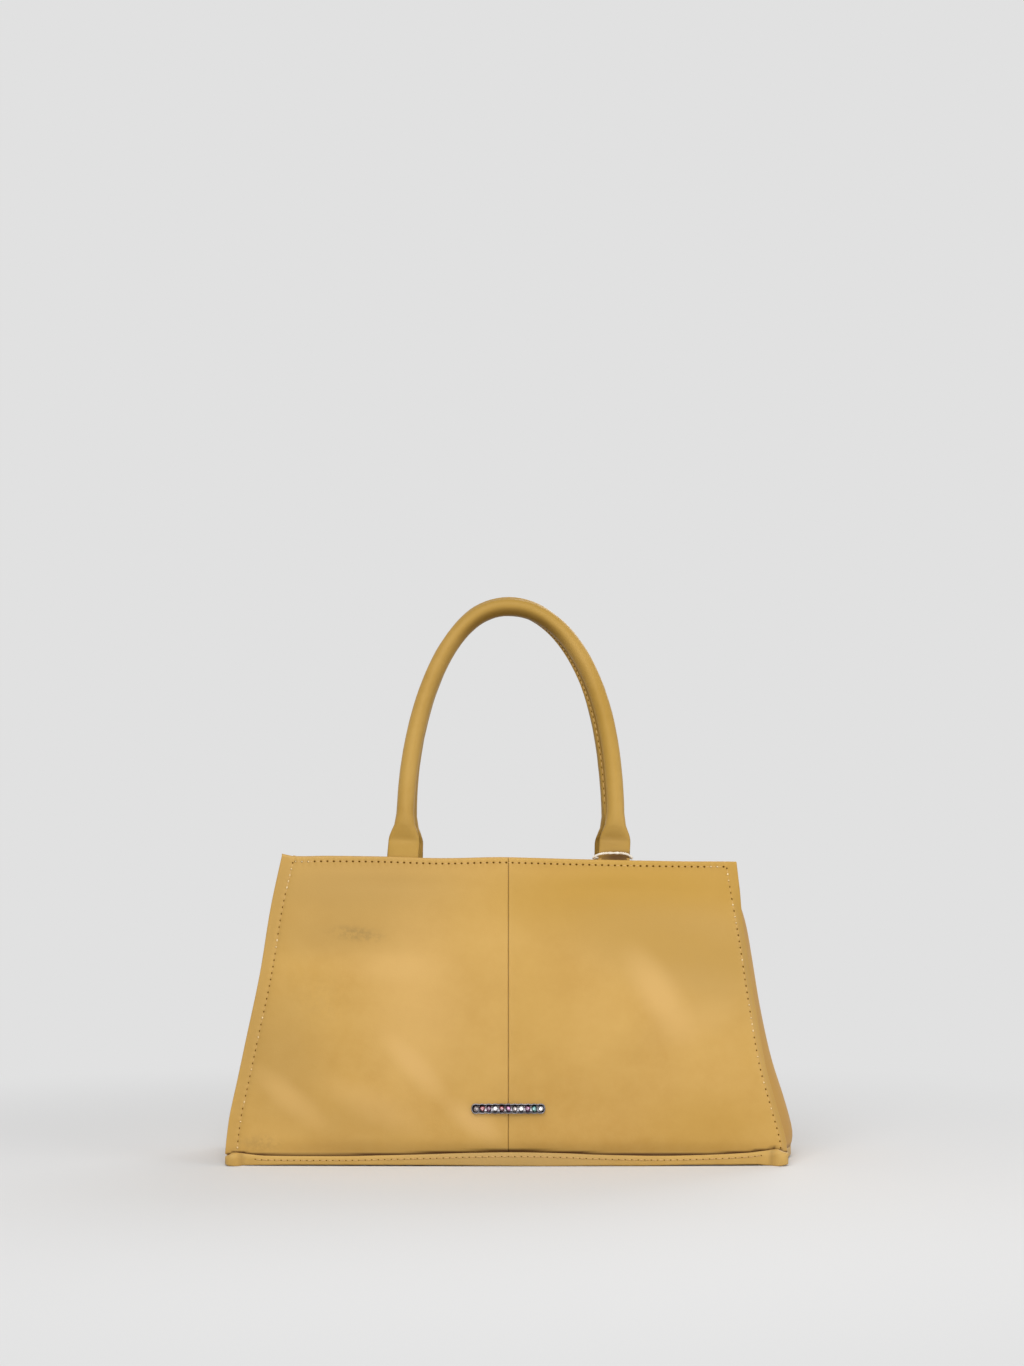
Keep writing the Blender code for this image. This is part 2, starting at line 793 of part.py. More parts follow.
def handle_lean():
    """The lean at which the top of the handle comes to the middle of the bag, half the gap short."""
    reach = top_half_depth - handle_radius - handle_gap / 2
    offset = tab_middle()
    return math.asin(reach / math.hypot(offset, handle_rise)) - math.atan2(offset, handle_rise)


def tab_middle():
    return under_panel + band_thickness / 2


def arch_point(angle):
    """A point of the centre line, from 0 where the leg starts to curve to a quarter turn at the top."""
    power = 2 / arch_power
    across = handle_half_span * max(math.cos(angle), 0) ** power
    up = handle_straight + (handle_rise - handle_straight) * math.sin(angle) ** power
    return Vector((across, 0, up))


def flattening(height):
    """0 in the tab, 1 in the round tube, smooth between."""
    low = handle_straight * flat_share
    high = handle_straight * round_share
    share = min(max((height - low) / (high - low), 0), 1)
    return share * share * (3 - 2 * share)


def ring(centre, across):
    share = flattening(centre.z)
    half_width = tab_half_width + (handle_radius - tab_half_width) * share
    half_thickness = tab_half_thickness + (handle_radius - tab_half_thickness) * min(share * swell_share, 1)
    power = 2 / (3 - share)
    points = []
    for index in range(tube_sides):
        angle = math.tau * index / tube_sides
        wide = math.copysign(abs(math.cos(angle)) ** power, math.cos(angle))
        deep = math.copysign(abs(math.sin(angle)) ** power, math.sin(angle))
        points.append(centre + across * (half_width * wide) + Vector((0, half_thickness * deep, 0)))
    return points


def handle_cover(name, pivot):
    centres = [Vector((handle_half_span, 0, tab_start + (handle_straight - tab_start) * step / 6))
               for step in range(6)]
    centres += [arch_point(math.pi / 2 * step / arch_steps) for step in range(arch_steps + 1)]
    rows = []
    for index, centre in enumerate(centres):
        if index == 0:
            along = Vector((0, 0, 1))
        elif index == len(centres) - 1:
            along = Vector((-1, 0, 0))
        else:
            along = (centres[index + 1] - centres[index - 1]).normalized()
        across = Vector((along.z, 0, -along.x))
        rows.append(ring(centre, across))
    rows[-1] = [Vector((0, point.y, point.z)) for point in rows[-1]]
    mesh = bpy.data.meshes.new(name)
    faces = []
    for row in range(len(rows) - 1):
        for side in range(tube_sides):
            after = (side + 1) % tube_sides
            faces.append((row * tube_sides + side, row * tube_sides + after,
                          (row + 1) * tube_sides + after, (row + 1) * tube_sides + side))
    mesh.from_pydata([point for row in rows for point in row], [], faces)
    cover = add_piece(name, mesh, pivot, camel_leather)
    cover.location = (0, tab_middle(), 0)
    mirror = cover.modifiers.new("other_half", "MIRROR")
    mirror.use_axis = (True, False, False)
    mirror.merge_threshold = clearance / 10
    solid = cover.modifiers.new("wall", "SOLIDIFY")
    solid.thickness = handle_wall
    solid.offset = -1
    solid.use_even_offset = True


def handle_core(name, pivot):
    half = [Vector((handle_half_span, 0, core_start))]
    half += [arch_point(math.pi / 2 * step / arch_steps) for step in range(1, arch_steps)]
    top = [Vector((0, 0, handle_rise))]
    points = half + top + [Vector((-point.x, 0, point.z)) for point in reversed(half)]
    curve = bpy.data.curves.new(name, "CURVE")
    curve.dimensions = "3D"
    curve.bevel_depth = (handle_radius - handle_wall) * math.cos(math.pi / tube_sides) - 2 * clearance
    curve.bevel_resolution = 2
    curve.use_fill_caps = True
    spline = curve.splines.new("POLY")
    spline.points.add(len(points) - 1)
    for place, point in zip(spline.points, points):
        place.co = (*point, 1)
    core = add_piece(name, curve, pivot, cord_finish)
    core.location = (0, tab_middle(), 0)


def handle(word, side, turn, wall):
    pivot = add_frame(f"{word}_handle_pivot", (0, side * top_half_depth, body_height),
                      (-handle_lean(), 0, turn))
    handle_cover(f"{word}_handle_cover", pivot)
    handle_core(f"{word}_handle_core", pivot)
    anchors(word, wall)
    return pivot


def tag_string(pivot):
    """A closed loop of string, snug round the right tab and bowed up at the front."""
    half_width = tab_half_width + clearance + string_radius
    half_thickness = tab_half_thickness + clearance + string_radius
    count = 24
    curve = bpy.data.curves.new("tag_string", "CURVE")
    curve.dimensions = "3D"
    curve.bevel_depth = string_radius
    curve.bevel_resolution = 1
    spline = curve.splines.new("POLY")
    spline.points.add(count - 1)
    power = 2 / 3
    for index, place in enumerate(spline.points):
        angle = math.tau * index / count
        wide = math.copysign(abs(math.cos(angle)) ** power, math.cos(angle))
        deep = math.copysign(abs(math.sin(angle)) ** power, math.sin(angle))
        rise = string_height + string_bow * (1 - wide * wide) * (1 - deep) / 2
        place.co = (half_width * wide, half_thickness * deep, rise, 1)
    spline.use_cyclic_u = True
    loop = add_piece("tag_string", curve, pivot, string_finish)
    loop.location = (handle_half_span, tab_middle(), 0)


# Bar of stones: a metal setting on the front, held by two prongs and a plate behind the panel

def stone_bar():
    loop = rectangle(-plaque_half_length, plaque_half_length, plaque_height_on_wall - plaque_half_height,
                     plaque_height_on_wall + plaque_half_height, plaque_half_height * plaque_end_share)
    front_face = -bar_stand - clearance - plaque_thickness
    setting = wall_plate("plaque_setting", [loop], plaque_thickness, front_face, front_wall, gunmetal,
                         solid=True)
    seats = bmesh.new()
    stone = bmesh.new()
    bmesh.ops.create_cone(stone, cap_ends=True, segments=8, radius1=stone_radius,
                          radius2=stone_table, depth=stone_height)
    stone_mesh = bpy.data.meshes.new("cut_stone")
    stone.to_mesh(stone_mesh)
    stone.free()
    stone_mesh.materials.append(stone_finish)
    stone_depth = front_face + cup_depth - clearance - stone_height / 2
    for index in range(stone_count):
        across = (index - (stone_count - 1) / 2) * stone_pitch
        seat = bmesh.ops.create_cone(seats, cap_ends=True, segments=8, radius1=stone_radius + clearance,
                                     radius2=stone_radius + clearance, depth=2 * cup_depth)
        bmesh.ops.translate(seats, vec=(across, 0, 0), verts=seat["verts"])
        placed = add_piece(f"plaque_stone_{index + 1}", stone_mesh, front_wall, None)
        placed.rotation_euler = (math.pi / 2, 0, 0)
        placed.location = (across, stone_depth, plaque_height_on_wall)
    seat_mesh = bpy.data.meshes.new("stone_seats")
    seats.to_mesh(seat_mesh)
    seats.free()
    cutter = hide_cutter(add_piece("stone_seats", seat_mesh, front_wall, None, cutters))
    cutter.rotation_euler = (math.pi / 2, 0, 0)
    cutter.location = (0, front_face, plaque_height_on_wall)
    combine(setting, cutter, "DIFFERENCE")
    backing_depth = under_panel - bar_stand
    prong_start = front_face + plaque_thickness / 2 + cup_depth / 2
    prong_stop = backing_depth + backing_thickness + prong_end
    prongs = hide_cutter(boxes("plaque_prongs", [
        ((side * prong_offset, (prong_start + prong_stop) / 2, plaque_height_on_wall),
         (prong_width, prong_stop - prong_start, prong_thickness)) for side in (-1, 1)],
        front_wall, gunmetal, cutters))
    combine(setting, prongs, "UNION")
    loops = [rectangle(-backing_half_length, backing_half_length, plaque_height_on_wall - plaque_half_height,
                       plaque_height_on_wall + plaque_half_height, corner_radius)]
    loops += [prong_slot(side, prong_offset, plaque_height_on_wall, prong_width, prong_thickness)
              for side in (-1, 1)]
    wall_plate("plaque_backing", loops, backing_thickness, backing_depth, front_wall, gunmetal)


panels()
seam_tapes()
gusset("gusset_left", -1)
gusset("gusset_right", 1)
base()
band("top_band_front", front_wall)
band("top_band_rear", rear_wall)
facings()
lining()
slip_pocket()
zip_reach = zip_pocket()
zip_pull(*zip_slider(zip_reach))
magnetic_snap()
front_pivot = handle("front", -1, 0, front_wall)
handle("rear", 1, math.pi, rear_wall)
tag_string(front_pivot)
stone_bar()

for made in parts.objects:
    if made.type == "MESH":
        made.data.shade_smooth()
        made.data.set_sharp_from_angle(angle=math.radians(35))
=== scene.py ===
"""Looks of the mini bag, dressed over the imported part: a small tapered leather tote with two rolled handles.

Metres, +Z up. The bag stands on z = 0 with its front toward -Y. A wall is called by its face,
-1 in front and 1 behind, and a side of the bag by its hand, -1 for left and 1 for right.
"""

import math
import random

import bmesh
import bpy
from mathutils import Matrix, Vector, noise
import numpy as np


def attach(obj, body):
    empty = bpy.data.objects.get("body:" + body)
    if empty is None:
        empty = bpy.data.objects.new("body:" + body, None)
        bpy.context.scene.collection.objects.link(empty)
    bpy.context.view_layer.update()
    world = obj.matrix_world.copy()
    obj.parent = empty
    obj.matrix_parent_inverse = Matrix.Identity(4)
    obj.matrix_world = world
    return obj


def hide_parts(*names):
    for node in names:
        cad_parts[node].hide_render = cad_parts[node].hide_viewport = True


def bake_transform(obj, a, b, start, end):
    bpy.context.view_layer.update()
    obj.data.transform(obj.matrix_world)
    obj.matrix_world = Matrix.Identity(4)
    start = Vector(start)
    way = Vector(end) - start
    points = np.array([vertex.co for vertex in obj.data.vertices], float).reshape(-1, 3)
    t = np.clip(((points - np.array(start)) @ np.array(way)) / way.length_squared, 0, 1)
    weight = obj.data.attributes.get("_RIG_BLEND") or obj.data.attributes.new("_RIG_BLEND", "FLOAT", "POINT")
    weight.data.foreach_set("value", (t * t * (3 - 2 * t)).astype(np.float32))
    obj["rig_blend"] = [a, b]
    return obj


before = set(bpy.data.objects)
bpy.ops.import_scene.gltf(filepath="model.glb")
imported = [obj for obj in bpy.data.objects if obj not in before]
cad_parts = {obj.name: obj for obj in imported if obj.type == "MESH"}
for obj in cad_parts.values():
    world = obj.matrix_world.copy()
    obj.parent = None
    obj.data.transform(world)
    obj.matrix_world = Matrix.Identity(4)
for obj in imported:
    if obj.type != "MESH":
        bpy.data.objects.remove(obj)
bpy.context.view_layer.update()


# The studio. A pale floor fades into a pale backdrop, one wide soft lamp hangs in front and above,
# and the camera looks level at the bag's front, shifted so that the bag stands low in the picture.
backdrop_grey = 0.753
room_light = 0.40
camera_place = (0.002, -1.105, 0.150)
camera_lens = 51.7
frame_shift = 0.15
floor_reach = 9.0
floor_fade_start = 0.24
floor_fade_end = 0.62
lamp_aim = (0.0, 0.0, 0.10)
# Each lamp: its place, the width of its square, and its watts.
lamps = {"key_lamp": ((-0.25, -1.30, 1.70), 1.6, 27.0),
         "fill_lamp": ((0.20, -1.60, 0.28), 0.5, 3.4),
         "side_lamp": ((1.30, -0.75, 0.50), 0.9, 4.4),
         "back_lamp": ((0.70, 1.50, 1.30), 1.2, 10.0)}


def add_node(tree, kind, inputs=None, **settings):
    """A shader node with its settings, and the values or links of its inputs by name or number."""
    node = tree.nodes.new(kind)
    for name, value in settings.items():
        setattr(node, name, value)
    for name, value in (inputs or {}).items():
        if isinstance(value, bpy.types.NodeSocket):
            tree.links.new(value, node.inputs[name])
        else:
            node.inputs[name].default_value = value
    return node


def colour_mix(tree, share, first, second):
    """A colour between two others. A plain colour is three numbers."""
    ends = [value if isinstance(value, bpy.types.NodeSocket) else (*value, 1.0) for value in (first, second)]
    node = add_node(tree, "ShaderNodeMix", {0: share, 6: ends[0], 7: ends[1]}, data_type="RGBA")
    return node.outputs[2]


def spread(tree, value, low, high, out_low=0.0, out_high=1.0):
    """A value stretched from one range to another and held inside it."""
    node = add_node(tree, "ShaderNodeMapRange", {"Value": value, "From Min": low, "From Max": high,
                                                 "To Min": out_low, "To Max": out_high})
    return node.outputs[0]


def maths(tree, operation, first, second=0.0):
    return add_node(tree, "ShaderNodeMath", {0: first, 1: second}, operation=operation).outputs[0]


def aim(thing, target):
    thing.rotation_euler = (Vector(target) - thing.location).to_track_quat("-Z", "Y").to_euler()


def add_to_scene(name, data):
    made = bpy.data.objects.new(name, data)
    bpy.context.scene.collection.objects.link(made)
    return made


camera = add_to_scene("studio_camera", bpy.data.cameras.new("studio_camera"))
camera.location = camera_place
camera.rotation_euler = (math.pi / 2, 0, 0)
camera.data.lens = camera_lens
camera.data.sensor_width = 36
camera.data.shift_y = frame_shift
camera.data.clip_start = 0.01
bpy.context.scene.camera = camera
bpy.context.scene.view_settings.view_transform = "Standard"

for lamp_name, (place, width, watts) in lamps.items():
    lamp = add_to_scene(lamp_name, bpy.data.lights.new(lamp_name, "AREA"))
    lamp.location = place
    lamp.data.shape = "SQUARE"
    lamp.data.size = width
    lamp.data.energy = watts
    aim(lamp, lamp_aim)


def grey(value):
    return (value, value, value, 1.0)


world = bpy.data.worlds.new("studio")
bpy.context.scene.world = world
world.use_nodes = True
tree = world.node_tree
tree.nodes.clear()
rays = add_node(tree, "ShaderNodeLightPath")
seen = maths(tree, "MAXIMUM", rays.outputs["Is Camera Ray"], rays.outputs["Is Glossy Ray"])
seen = maths(tree, "MAXIMUM", seen, rays.outputs["Is Transmission Ray"])
light = add_node(tree, "ShaderNodeBackground", {"Color": grey(room_light)})
backdrop = add_node(tree, "ShaderNodeBackground", {"Color": grey(backdrop_grey)})
shown = add_node(tree, "ShaderNodeMixShader", {0: seen, 1: light.outputs[0], 2: backdrop.outputs[0]})
add_node(tree, "ShaderNodeOutputWorld", {"Surface": shown.outputs[0]})

floor_paper = bpy.data.materials.new("studio_paper")
floor_paper.use_nodes = True
tree = floor_paper.node_tree
tree.nodes.clear()
place = add_node(tree, "ShaderNodeTexCoord").outputs["Object"]
distance = add_node(tree, "ShaderNodeVectorMath", {0: place}, operation="LENGTH").outputs["Value"]
fade = add_node(tree, "ShaderNodeMapRange", {"Value": distance, "From Min": floor_fade_start,
                                             "From Max": floor_fade_end}, interpolation_type="SMOOTHSTEP")
paper = add_node(tree, "ShaderNodeBsdfDiffuse", {"Color": grey(backdrop_grey)})
glow = add_node(tree, "ShaderNodeEmission", {"Color": grey(backdrop_grey)})
shown = add_node(tree, "ShaderNodeMixShader", {0: fade.outputs[0], 1: paper.outputs[0], 2: glow.outputs[0]})
add_node(tree, "ShaderNodeOutputMaterial", {"Surface": shown.outputs[0]})

floor_data = bpy.data.meshes.new("studio_floor")
floor_corners = [(x * floor_reach, y * floor_reach, 0) for x, y in ((-1, -1), (1, -1), (1, 1), (-1, 1))]
floor_data.from_pydata(floor_corners, [], [(0, 1, 2, 3)])
floor_data.materials.append(floor_paper)
floor = add_to_scene("studio_floor", floor_data)


# The base leather. One piece of camel leather is shaped into a shallow tray over a grey board. Its edge
# is turned up over the foot of the panels and stitched, and swells round the foot of each side seam.
body_height = 0.1665
base_half_width = 0.1515
top_half_width = 0.1238
base_half_depth = 0.045
top_half_depth = 0.030
wall_lean = math.atan2(base_half_depth - top_half_depth, body_height)
wall_slope = body_height / math.cos(wall_lean)
leather = 0.0016
tray_half_depth = 0.0469
tray_bow = 0.0022
tray_bow_reach = 0.138
tray_edge_radius = 0.0009
tray_lift_reach = 0.0160
tray_rim_drop = 0.0007
tray_lip = 0.0005
tray_skin = 0.0014
tray_floor_top = 0.0016
tray_end = 0.1488
tray_end_half_depth = 0.0388
tray_middle_half_width = 0.1505
tray_middle_half_depth = 0.0465
tray_step = 0.0165
outline_spacing = 0.003
pleat_place = 0.1437
pleat_reach = 0.0008
rim_heights = ((-0.1530, 0.0052), (-0.1500, 0.0062), (-0.1465, 0.0070), (-0.1400, 0.0062), (-0.131, 0.0055),
               (-0.088, 0.0054), (-0.071, 0.0058), (-0.044, 0.0065), (-0.023, 0.0072), (0.004, 0.0076),
               (0.031, 0.0070), (0.047, 0.0063), (0.080, 0.0056), (0.105, 0.0060), (0.128, 0.0070),
               (0.1395, 0.0082), (0.1440, 0.0088), (0.1475, 0.0076), (0.1515, 0.0070))
foot_heights = ((-0.1530, 0.0005), (-0.1510, 0.0002), (-0.1480, 0.0001), (-0.1445, 0.0001),
                (-0.1400, 0.0003), (-0.1300, 0.0005), (-0.115, 0.0007), (-0.060, 0.0007), (-0.035, 0.0006),
                (-0.006, 0.0003), (0.020, 0.0001), (0.047, 0.0003), (0.075, 0.0003), (0.100, 0.0007),
                (0.122, 0.0007), (0.133, 0.0008), (0.1380, 0.0006), (0.1405, 0.0001), (0.1460, 0.0001),
                (0.1500, 0.0006))
corner_swell = ((0.1375, -0.0466), (0.1412, -0.0463), (0.1436, -0.0459), (0.1458, -0.0480), (0.1482, -0.0491),
                (0.1508, -0.0486), (0.1525, -0.0466), (0.1528, -0.0436), (0.1509, -0.0412), (0.1492, -0.0388))
corner_reach = {-1: 0.0003, 1: -0.0014}
seam_lines = {
    -1: ((0.0, 0.1468), (0.0082, 0.1466), (0.0243, 0.1449), (0.0329, 0.1433), (0.0445, 0.1408),
         (0.0673, 0.1362), (0.1020, 0.1292), (0.1368, 0.1237), (0.1636, 0.1180), (0.1680, 0.1172)),
    1: ((0.0, 0.1478), (0.0109, 0.1472), (0.0163, 0.1463), (0.0329, 0.1418), (0.0544, 0.1362),
        (0.0880, 0.1308), (0.1270, 0.1252), (0.1543, 0.1208), (0.1614, 0.1199), (0.1680, 0.1191))}
margin_turns = {-1: ((0.0, 0.10), (0.05, 0.06), (0.1665, 0.05)),
                1: ((0.0, 0.85), (0.03, 0.88), (0.125, 0.84), (0.140, 0.70), (0.152, 0.45), (0.1665, 0.35))}
margin_width = 0.0067
margin_tuck = 0.0031
bulge_heights = {-1: ((0.0, 0.0012), (0.010, 0.0022), (0.05, 0.0042), (0.10, 0.0042), (0.15, 0.0020),
                      (0.1665, 0.0005)),
                 1: ((0.0, 0.0080), (0.006, 0.0114), (0.010, 0.0127), (0.016, 0.0133), (0.030, 0.0133),
                     (0.055, 0.0122), (0.085, 0.0104), (0.110, 0.0098), (0.128, 0.0094), (0.140, 0.0080),
                     (0.153, 0.0046), (0.1665, 0.0007))}
camel = (0.550, 0.325, 0.081)
camel_shade = (0.486, 0.273, 0.060)
camel_light = (0.606, 0.374, 0.112)
# The colour toward which painted crease shade darkens the leather.
camel_crease_shade = (0.170, 0.074, 0.012)
leather_glint = (1.0, 0.84, 0.58, 1.0)


def eased(table, at):
    """The value at a place on a smooth curve through (place, value) pairs, level beyond its ends."""
    if at <= table[0][0]:
        return table[0][1]
    if at >= table[-1][0]:
        return table[-1][1]
    last = len(table) - 1
    index = max(number for number in range(last) if table[number][0] <= at)

    def slope(number):
        first, second = table[max(number - 1, 0)], table[min(number + 1, last)]
        return (second[1] - first[1]) / (second[0] - first[0])

    (start, low), (end, high) = table[index], table[index + 1]
    gap = end - start
    share = (at - start) / gap
    square, cube = share * share, share ** 3
    return ((2 * cube - 3 * square + 1) * low + (cube - 2 * square + share) * gap * slope(index)
            + (3 * square - 2 * cube) * high + (cube - square) * gap * slope(index + 1))


def ramp(value, low, high):
    """0 up to low, 1 from high, smooth between."""
    share = min(max((value - low) / (high - low), 0.0), 1.0)
    return share * share * (3 - 2 * share)


def half_depth_at(height):
    return base_half_depth + (top_half_depth - base_half_depth) * height / body_height


def shader_group(name, inputs, outputs):
    """An empty group of shader nodes with named number sockets, its entry and its way out."""
    group = bpy.data.node_groups.new(name, "ShaderNodeTree")
    for label, value in inputs:
        socket = group.interface.new_socket(label, in_out="INPUT", socket_type="NodeSocketFloat")
        socket.default_value = value
    for label in outputs:
        group.interface.new_socket(label, in_out="OUTPUT", socket_type="NodeSocketFloat")
    return group, group.nodes.new("NodeGroupInput"), group.nodes.new("NodeGroupOutput")


def object_place(tree):
    return add_node(tree, "ShaderNodeTexCoord").outputs["Object"]


def noise_value(tree, place, scale, detail=2.0, roughness=0.5):
    return add_node(tree, "ShaderNodeTexNoise", {"Vector": place, "Scale": scale, "Detail": detail,
                                                 "Roughness": roughness}).outputs[0]


# Grain of smooth dyed leather: fine pores, a soft pebble under them, and slow patches of the dye.
grain_group, entry, way_out = shader_group(
    "leather grain", (("Pores per metre", 1900.0), ("Pebbles per metre", 520.0), ("Patches per metre", 22.0)),
    ("Height", "Patches", "Mottle"))
place = object_place(grain_group)
pores = add_node(grain_group, "ShaderNodeTexVoronoi", {"Vector": place, "Scale": entry.outputs[0]},
                 feature="SMOOTH_F1").outputs["Distance"]
pebbles = noise_value(grain_group, place, entry.outputs[1], 3.0, 0.6)
patches = noise_value(grain_group, place, entry.outputs[2], 2.0, 0.45)
mottle = noise_value(grain_group, place, maths(grain_group, "MULTIPLY", entry.outputs[2], 5.0), 3.0, 0.6)
height = maths(grain_group, "ADD", maths(grain_group, "MULTIPLY", pores, 0.45),
               maths(grain_group, "MULTIPLY", pebbles, 0.55))
grain_group.links.new(height, way_out.inputs["Height"])
grain_group.links.new(spread(grain_group, patches, 0.36, 0.66), way_out.inputs["Patches"])
grain_group.links.new(spread(grain_group, mottle, 0.34, 0.68), way_out.inputs["Mottle"])

# Wear along cut and folded edges, broken up so that it comes and goes.
wear_group, entry, way_out = shader_group(
    "edge wear", (("Edge", 0.0), ("Breaks per metre", 240.0)), ("Wear",))
place = object_place(wear_group)
breaks = spread(wear_group, noise_value(wear_group, place, entry.outputs[1], 3.0, 0.6), 0.38, 0.62, 0.25, 1.0)
wear_group.links.new(maths(wear_group, "MULTIPLY", entry.outputs[0], breaks), way_out.inputs["Wear"])

# Little swells between the stitches of a row, and the dimple that each needle hole pulls in.
pucker_group, entry, way_out = shader_group(
    "stitch pucker", (("Beside row", 0.0), ("Run in stitches", 0.0)), ("Height",))
turn = maths(pucker_group, "MULTIPLY", entry.outputs[1], math.tau)
wave = maths(pucker_group, "COSINE", turn)
rise = maths(pucker_group, "MULTIPLY", maths(pucker_group, "ADD", wave, 1.0), 0.5)
pucker_group.links.new(maths(pucker_group, "MULTIPLY", rise, entry.outputs[0]), way_out.inputs["Height"])


def place_group(tree, group, inputs=None):
    return add_node(tree, "ShaderNodeGroup", inputs, node_tree=group)


def painted(tree, name):
    """A mask kept on the points of a mesh, 0 where it has none."""
    return add_node(tree, "ShaderNodeAttribute", attribute_name=name).outputs["Fac"]


def new_finish(name):
    made = bpy.data.materials.new(name)
    made.use_nodes = True
    return made, made.node_tree, made.node_tree.nodes["Principled BSDF"]


def set_normal(tree, shader, height, distance, strength=1.0):
    bump = add_node(tree, "ShaderNodeBump", {"Height": height, "Distance": distance, "Strength": strength})
    tree.links.new(bump.outputs[0], shader.inputs["Normal"])
    return bump


def soft_spot(tree, centre, size, turn=0.0, depth=10.0):
    """A mask that is 1 at a place and fades to 0 round it. The size is its half width and half height."""
    moved = add_node(tree, "ShaderNodeMapping", {
        "Vector": object_place(tree), "Location": (centre[0], -0.04, centre[1]),
        "Rotation": (0.0, -math.radians(turn), 0.0), "Scale": (size[0], depth, size[1])},
        vector_type="TEXTURE").outputs[0]
    length = add_node(tree, "ShaderNodeVectorMath", {0: moved}, operation="LENGTH").outputs["Value"]
    return add_node(tree, "ShaderNodeMapRange", {"Value": length, "From Min": 0.15, "From Max": 1.25,
                                                 "To Min": 1.0, "To Max": 0.0},
                    interpolation_type="SMOOTHSTEP").outputs[0]


def leather_finish(name, body, shade, light, crease_shade, roughness=0.47, tones_and_painted_light=None, gloss=0.5):
    """Satin dyed leather: patches of the dye, worn edges, painted shade in creases and recesses, pores and
    stitch puckers, and any further tones and painted light a piece adds.
    """
    made, tree, shader = new_finish(name)
    shader.inputs["Specular IOR Level"].default_value = gloss
    shader.inputs["Specular Tint"].default_value = leather_glint
    grain = place_group(tree, grain_group)
    wear = place_group(tree, wear_group, {"Edge": painted(tree, "edge")})
    side_row = place_group(tree, pucker_group, {"Beside row": painted(tree, "beside_row"),
                                                "Run in stitches": painted(tree, "run")})
    mouth_row = place_group(tree, pucker_group, {"Beside row": painted(tree, "beside_mouth"),
                                                 "Run in stitches": painted(tree, "mouth_run")})
    pucker = maths(tree, "MAXIMUM", side_row.outputs["Height"], mouth_row.outputs["Height"])
    colour = colour_mix(tree, maths(tree, "MULTIPLY", grain.outputs["Patches"], 0.75), body, shade)
    colour = colour_mix(tree, maths(tree, "MULTIPLY", grain.outputs["Mottle"], 0.30), colour, light)
    colour = colour_mix(tree, maths(tree, "MULTIPLY", wear.outputs["Wear"], 0.45), colour, light)
    if tones_and_painted_light is not None:
        colour = tones_and_painted_light(tree, colour)
    # Painted shade: the crease mask darkens seams, creases and recesses toward the crease colour.
    colour = colour_mix(tree, painted(tree, "crease_shade"), colour, crease_shade)
    tree.links.new(colour, shader.inputs["Base Color"])
    tree.links.new(spread(tree, grain.outputs["Mottle"], 0.0, 1.0, roughness - 0.04, roughness + 0.06),
                   shader.inputs["Roughness"])
    first = set_normal(tree, shader, grain.outputs["Height"], 0.00007, 0.8)
    second = add_node(tree, "ShaderNodeBump", {"Height": pucker, "Distance": 0.00030,
                                               "Normal": first.outputs[0]})
    tree.links.new(second.outputs[0], shader.inputs["Normal"])
    return made


camel_finish = leather_finish("camel_leather_satin", camel, camel_shade, camel_light, camel_crease_shade)


def build_piece(name, mesh, finish):
    """A finished mesh as an object of the scene, smooth shaded and facing outward."""
    bmesh.ops.recalc_face_normals(mesh, faces=mesh.faces)
    data = bpy.data.meshes.new(name)
    mesh.to_mesh(data)
    mesh.free()
    data.materials.append(finish)
    data.shade_smooth()
    return add_to_scene(name, data)


def join_rings(mesh, rings, looped=False, capped=True):
    """Faces from each ring of points to the next, with both ends filled or the last joined to the first."""
    faces = []
    for first, second in zip(rings, rings[1:] + (rings[:1] if looped else [])):
        for index in range(len(first)):
            after = (index + 1) % len(first)
            faces.append(mesh.faces.new((first[index], first[after], second[after], second[index])))
    if capped and not looped:
        faces += [mesh.faces.new(rings[0]), mesh.faces.new(rings[-1])]
    return faces


def mask_layers(mesh, masks):
    """Layers for the masks that finishes read, one number for each point of the mesh."""
    for mask in masks:
        mesh.verts.layers.float.new(mask)
    return {mask: mesh.verts.layers.float[mask] for mask in masks}


def lofted(name, loops, finish, masks=None):
    """Closed loops of points joined one to the next, with the first and last filled."""
    mesh = bmesh.new()
    layers = mask_layers(mesh, masks or {})
    rings = [[mesh.verts.new(point) for point in loop] for loop in loops]
    join_rings(mesh, rings)
    for mask, grid in (masks or {}).items():
        for ring, values in zip(rings, grid):
            for vertex, value in zip(ring, values):
                vertex[layers[mask]] = value
    return build_piece(name, mesh, finish)


def closed_path(points, spacing):
    """Points at even steps along a smooth closed curve through the given ones."""
    count = len(points)
    made = []
    for index in range(count):
        before, start, end, after = (Vector(points[(index + step) % count]) for step in (-1, 0, 1, 2))
        steps = max(1, round((end - start).length / spacing))
        for step in range(steps):
            t = step / steps
            made.append(0.5 * (2 * start + (end - before) * t
                               + (2 * before - 5 * start + 4 * end - after) * t ** 2
                               + (3 * start - before - 3 * end + after) * t ** 3))
    return made


def sewn_bulge(hand, height):
    return eased(bulge_heights[hand], height)


def tray_outline():
    """The tray's outer edge seen from above, from the middle of the front round by the right."""
    def front_right(hand):
        points = []
        for step in range(9):
            across = tray_step * step
            bow = tray_bow * (1 - (across / tray_bow_reach) ** 2)
            points.append((hand * across, -tray_half_depth - bow))
        points += [(hand * (across + corner_reach[hand]), depth) for across, depth in corner_swell]
        end = sewn_bulge(hand, 0.003)
        for share in (0.25, 0.5, 0.75, 1.0):
            swell = end * math.sin(math.pi * share / 2) ** 1.4
            points.append((hand * (tray_end + swell), -tray_end_half_depth * (1 - share)))
        return points

    right = front_right(1)
    left = front_right(-1)
    behind_right = [(x, -y) for x, y in reversed(right[:-1])]
    behind_left = [(x, -y) for x, y in left[1:-1]]
    return right + behind_right + behind_left + list(reversed(left[1:]))


outline = closed_path(tray_outline(), outline_spacing)
count = len(outline)
outward = []
for index, point in enumerate(outline):
    along = (outline[(index + 1) % count] - outline[index - 1]).normalized()
    outward.append(Vector((along.y, -along.x)))


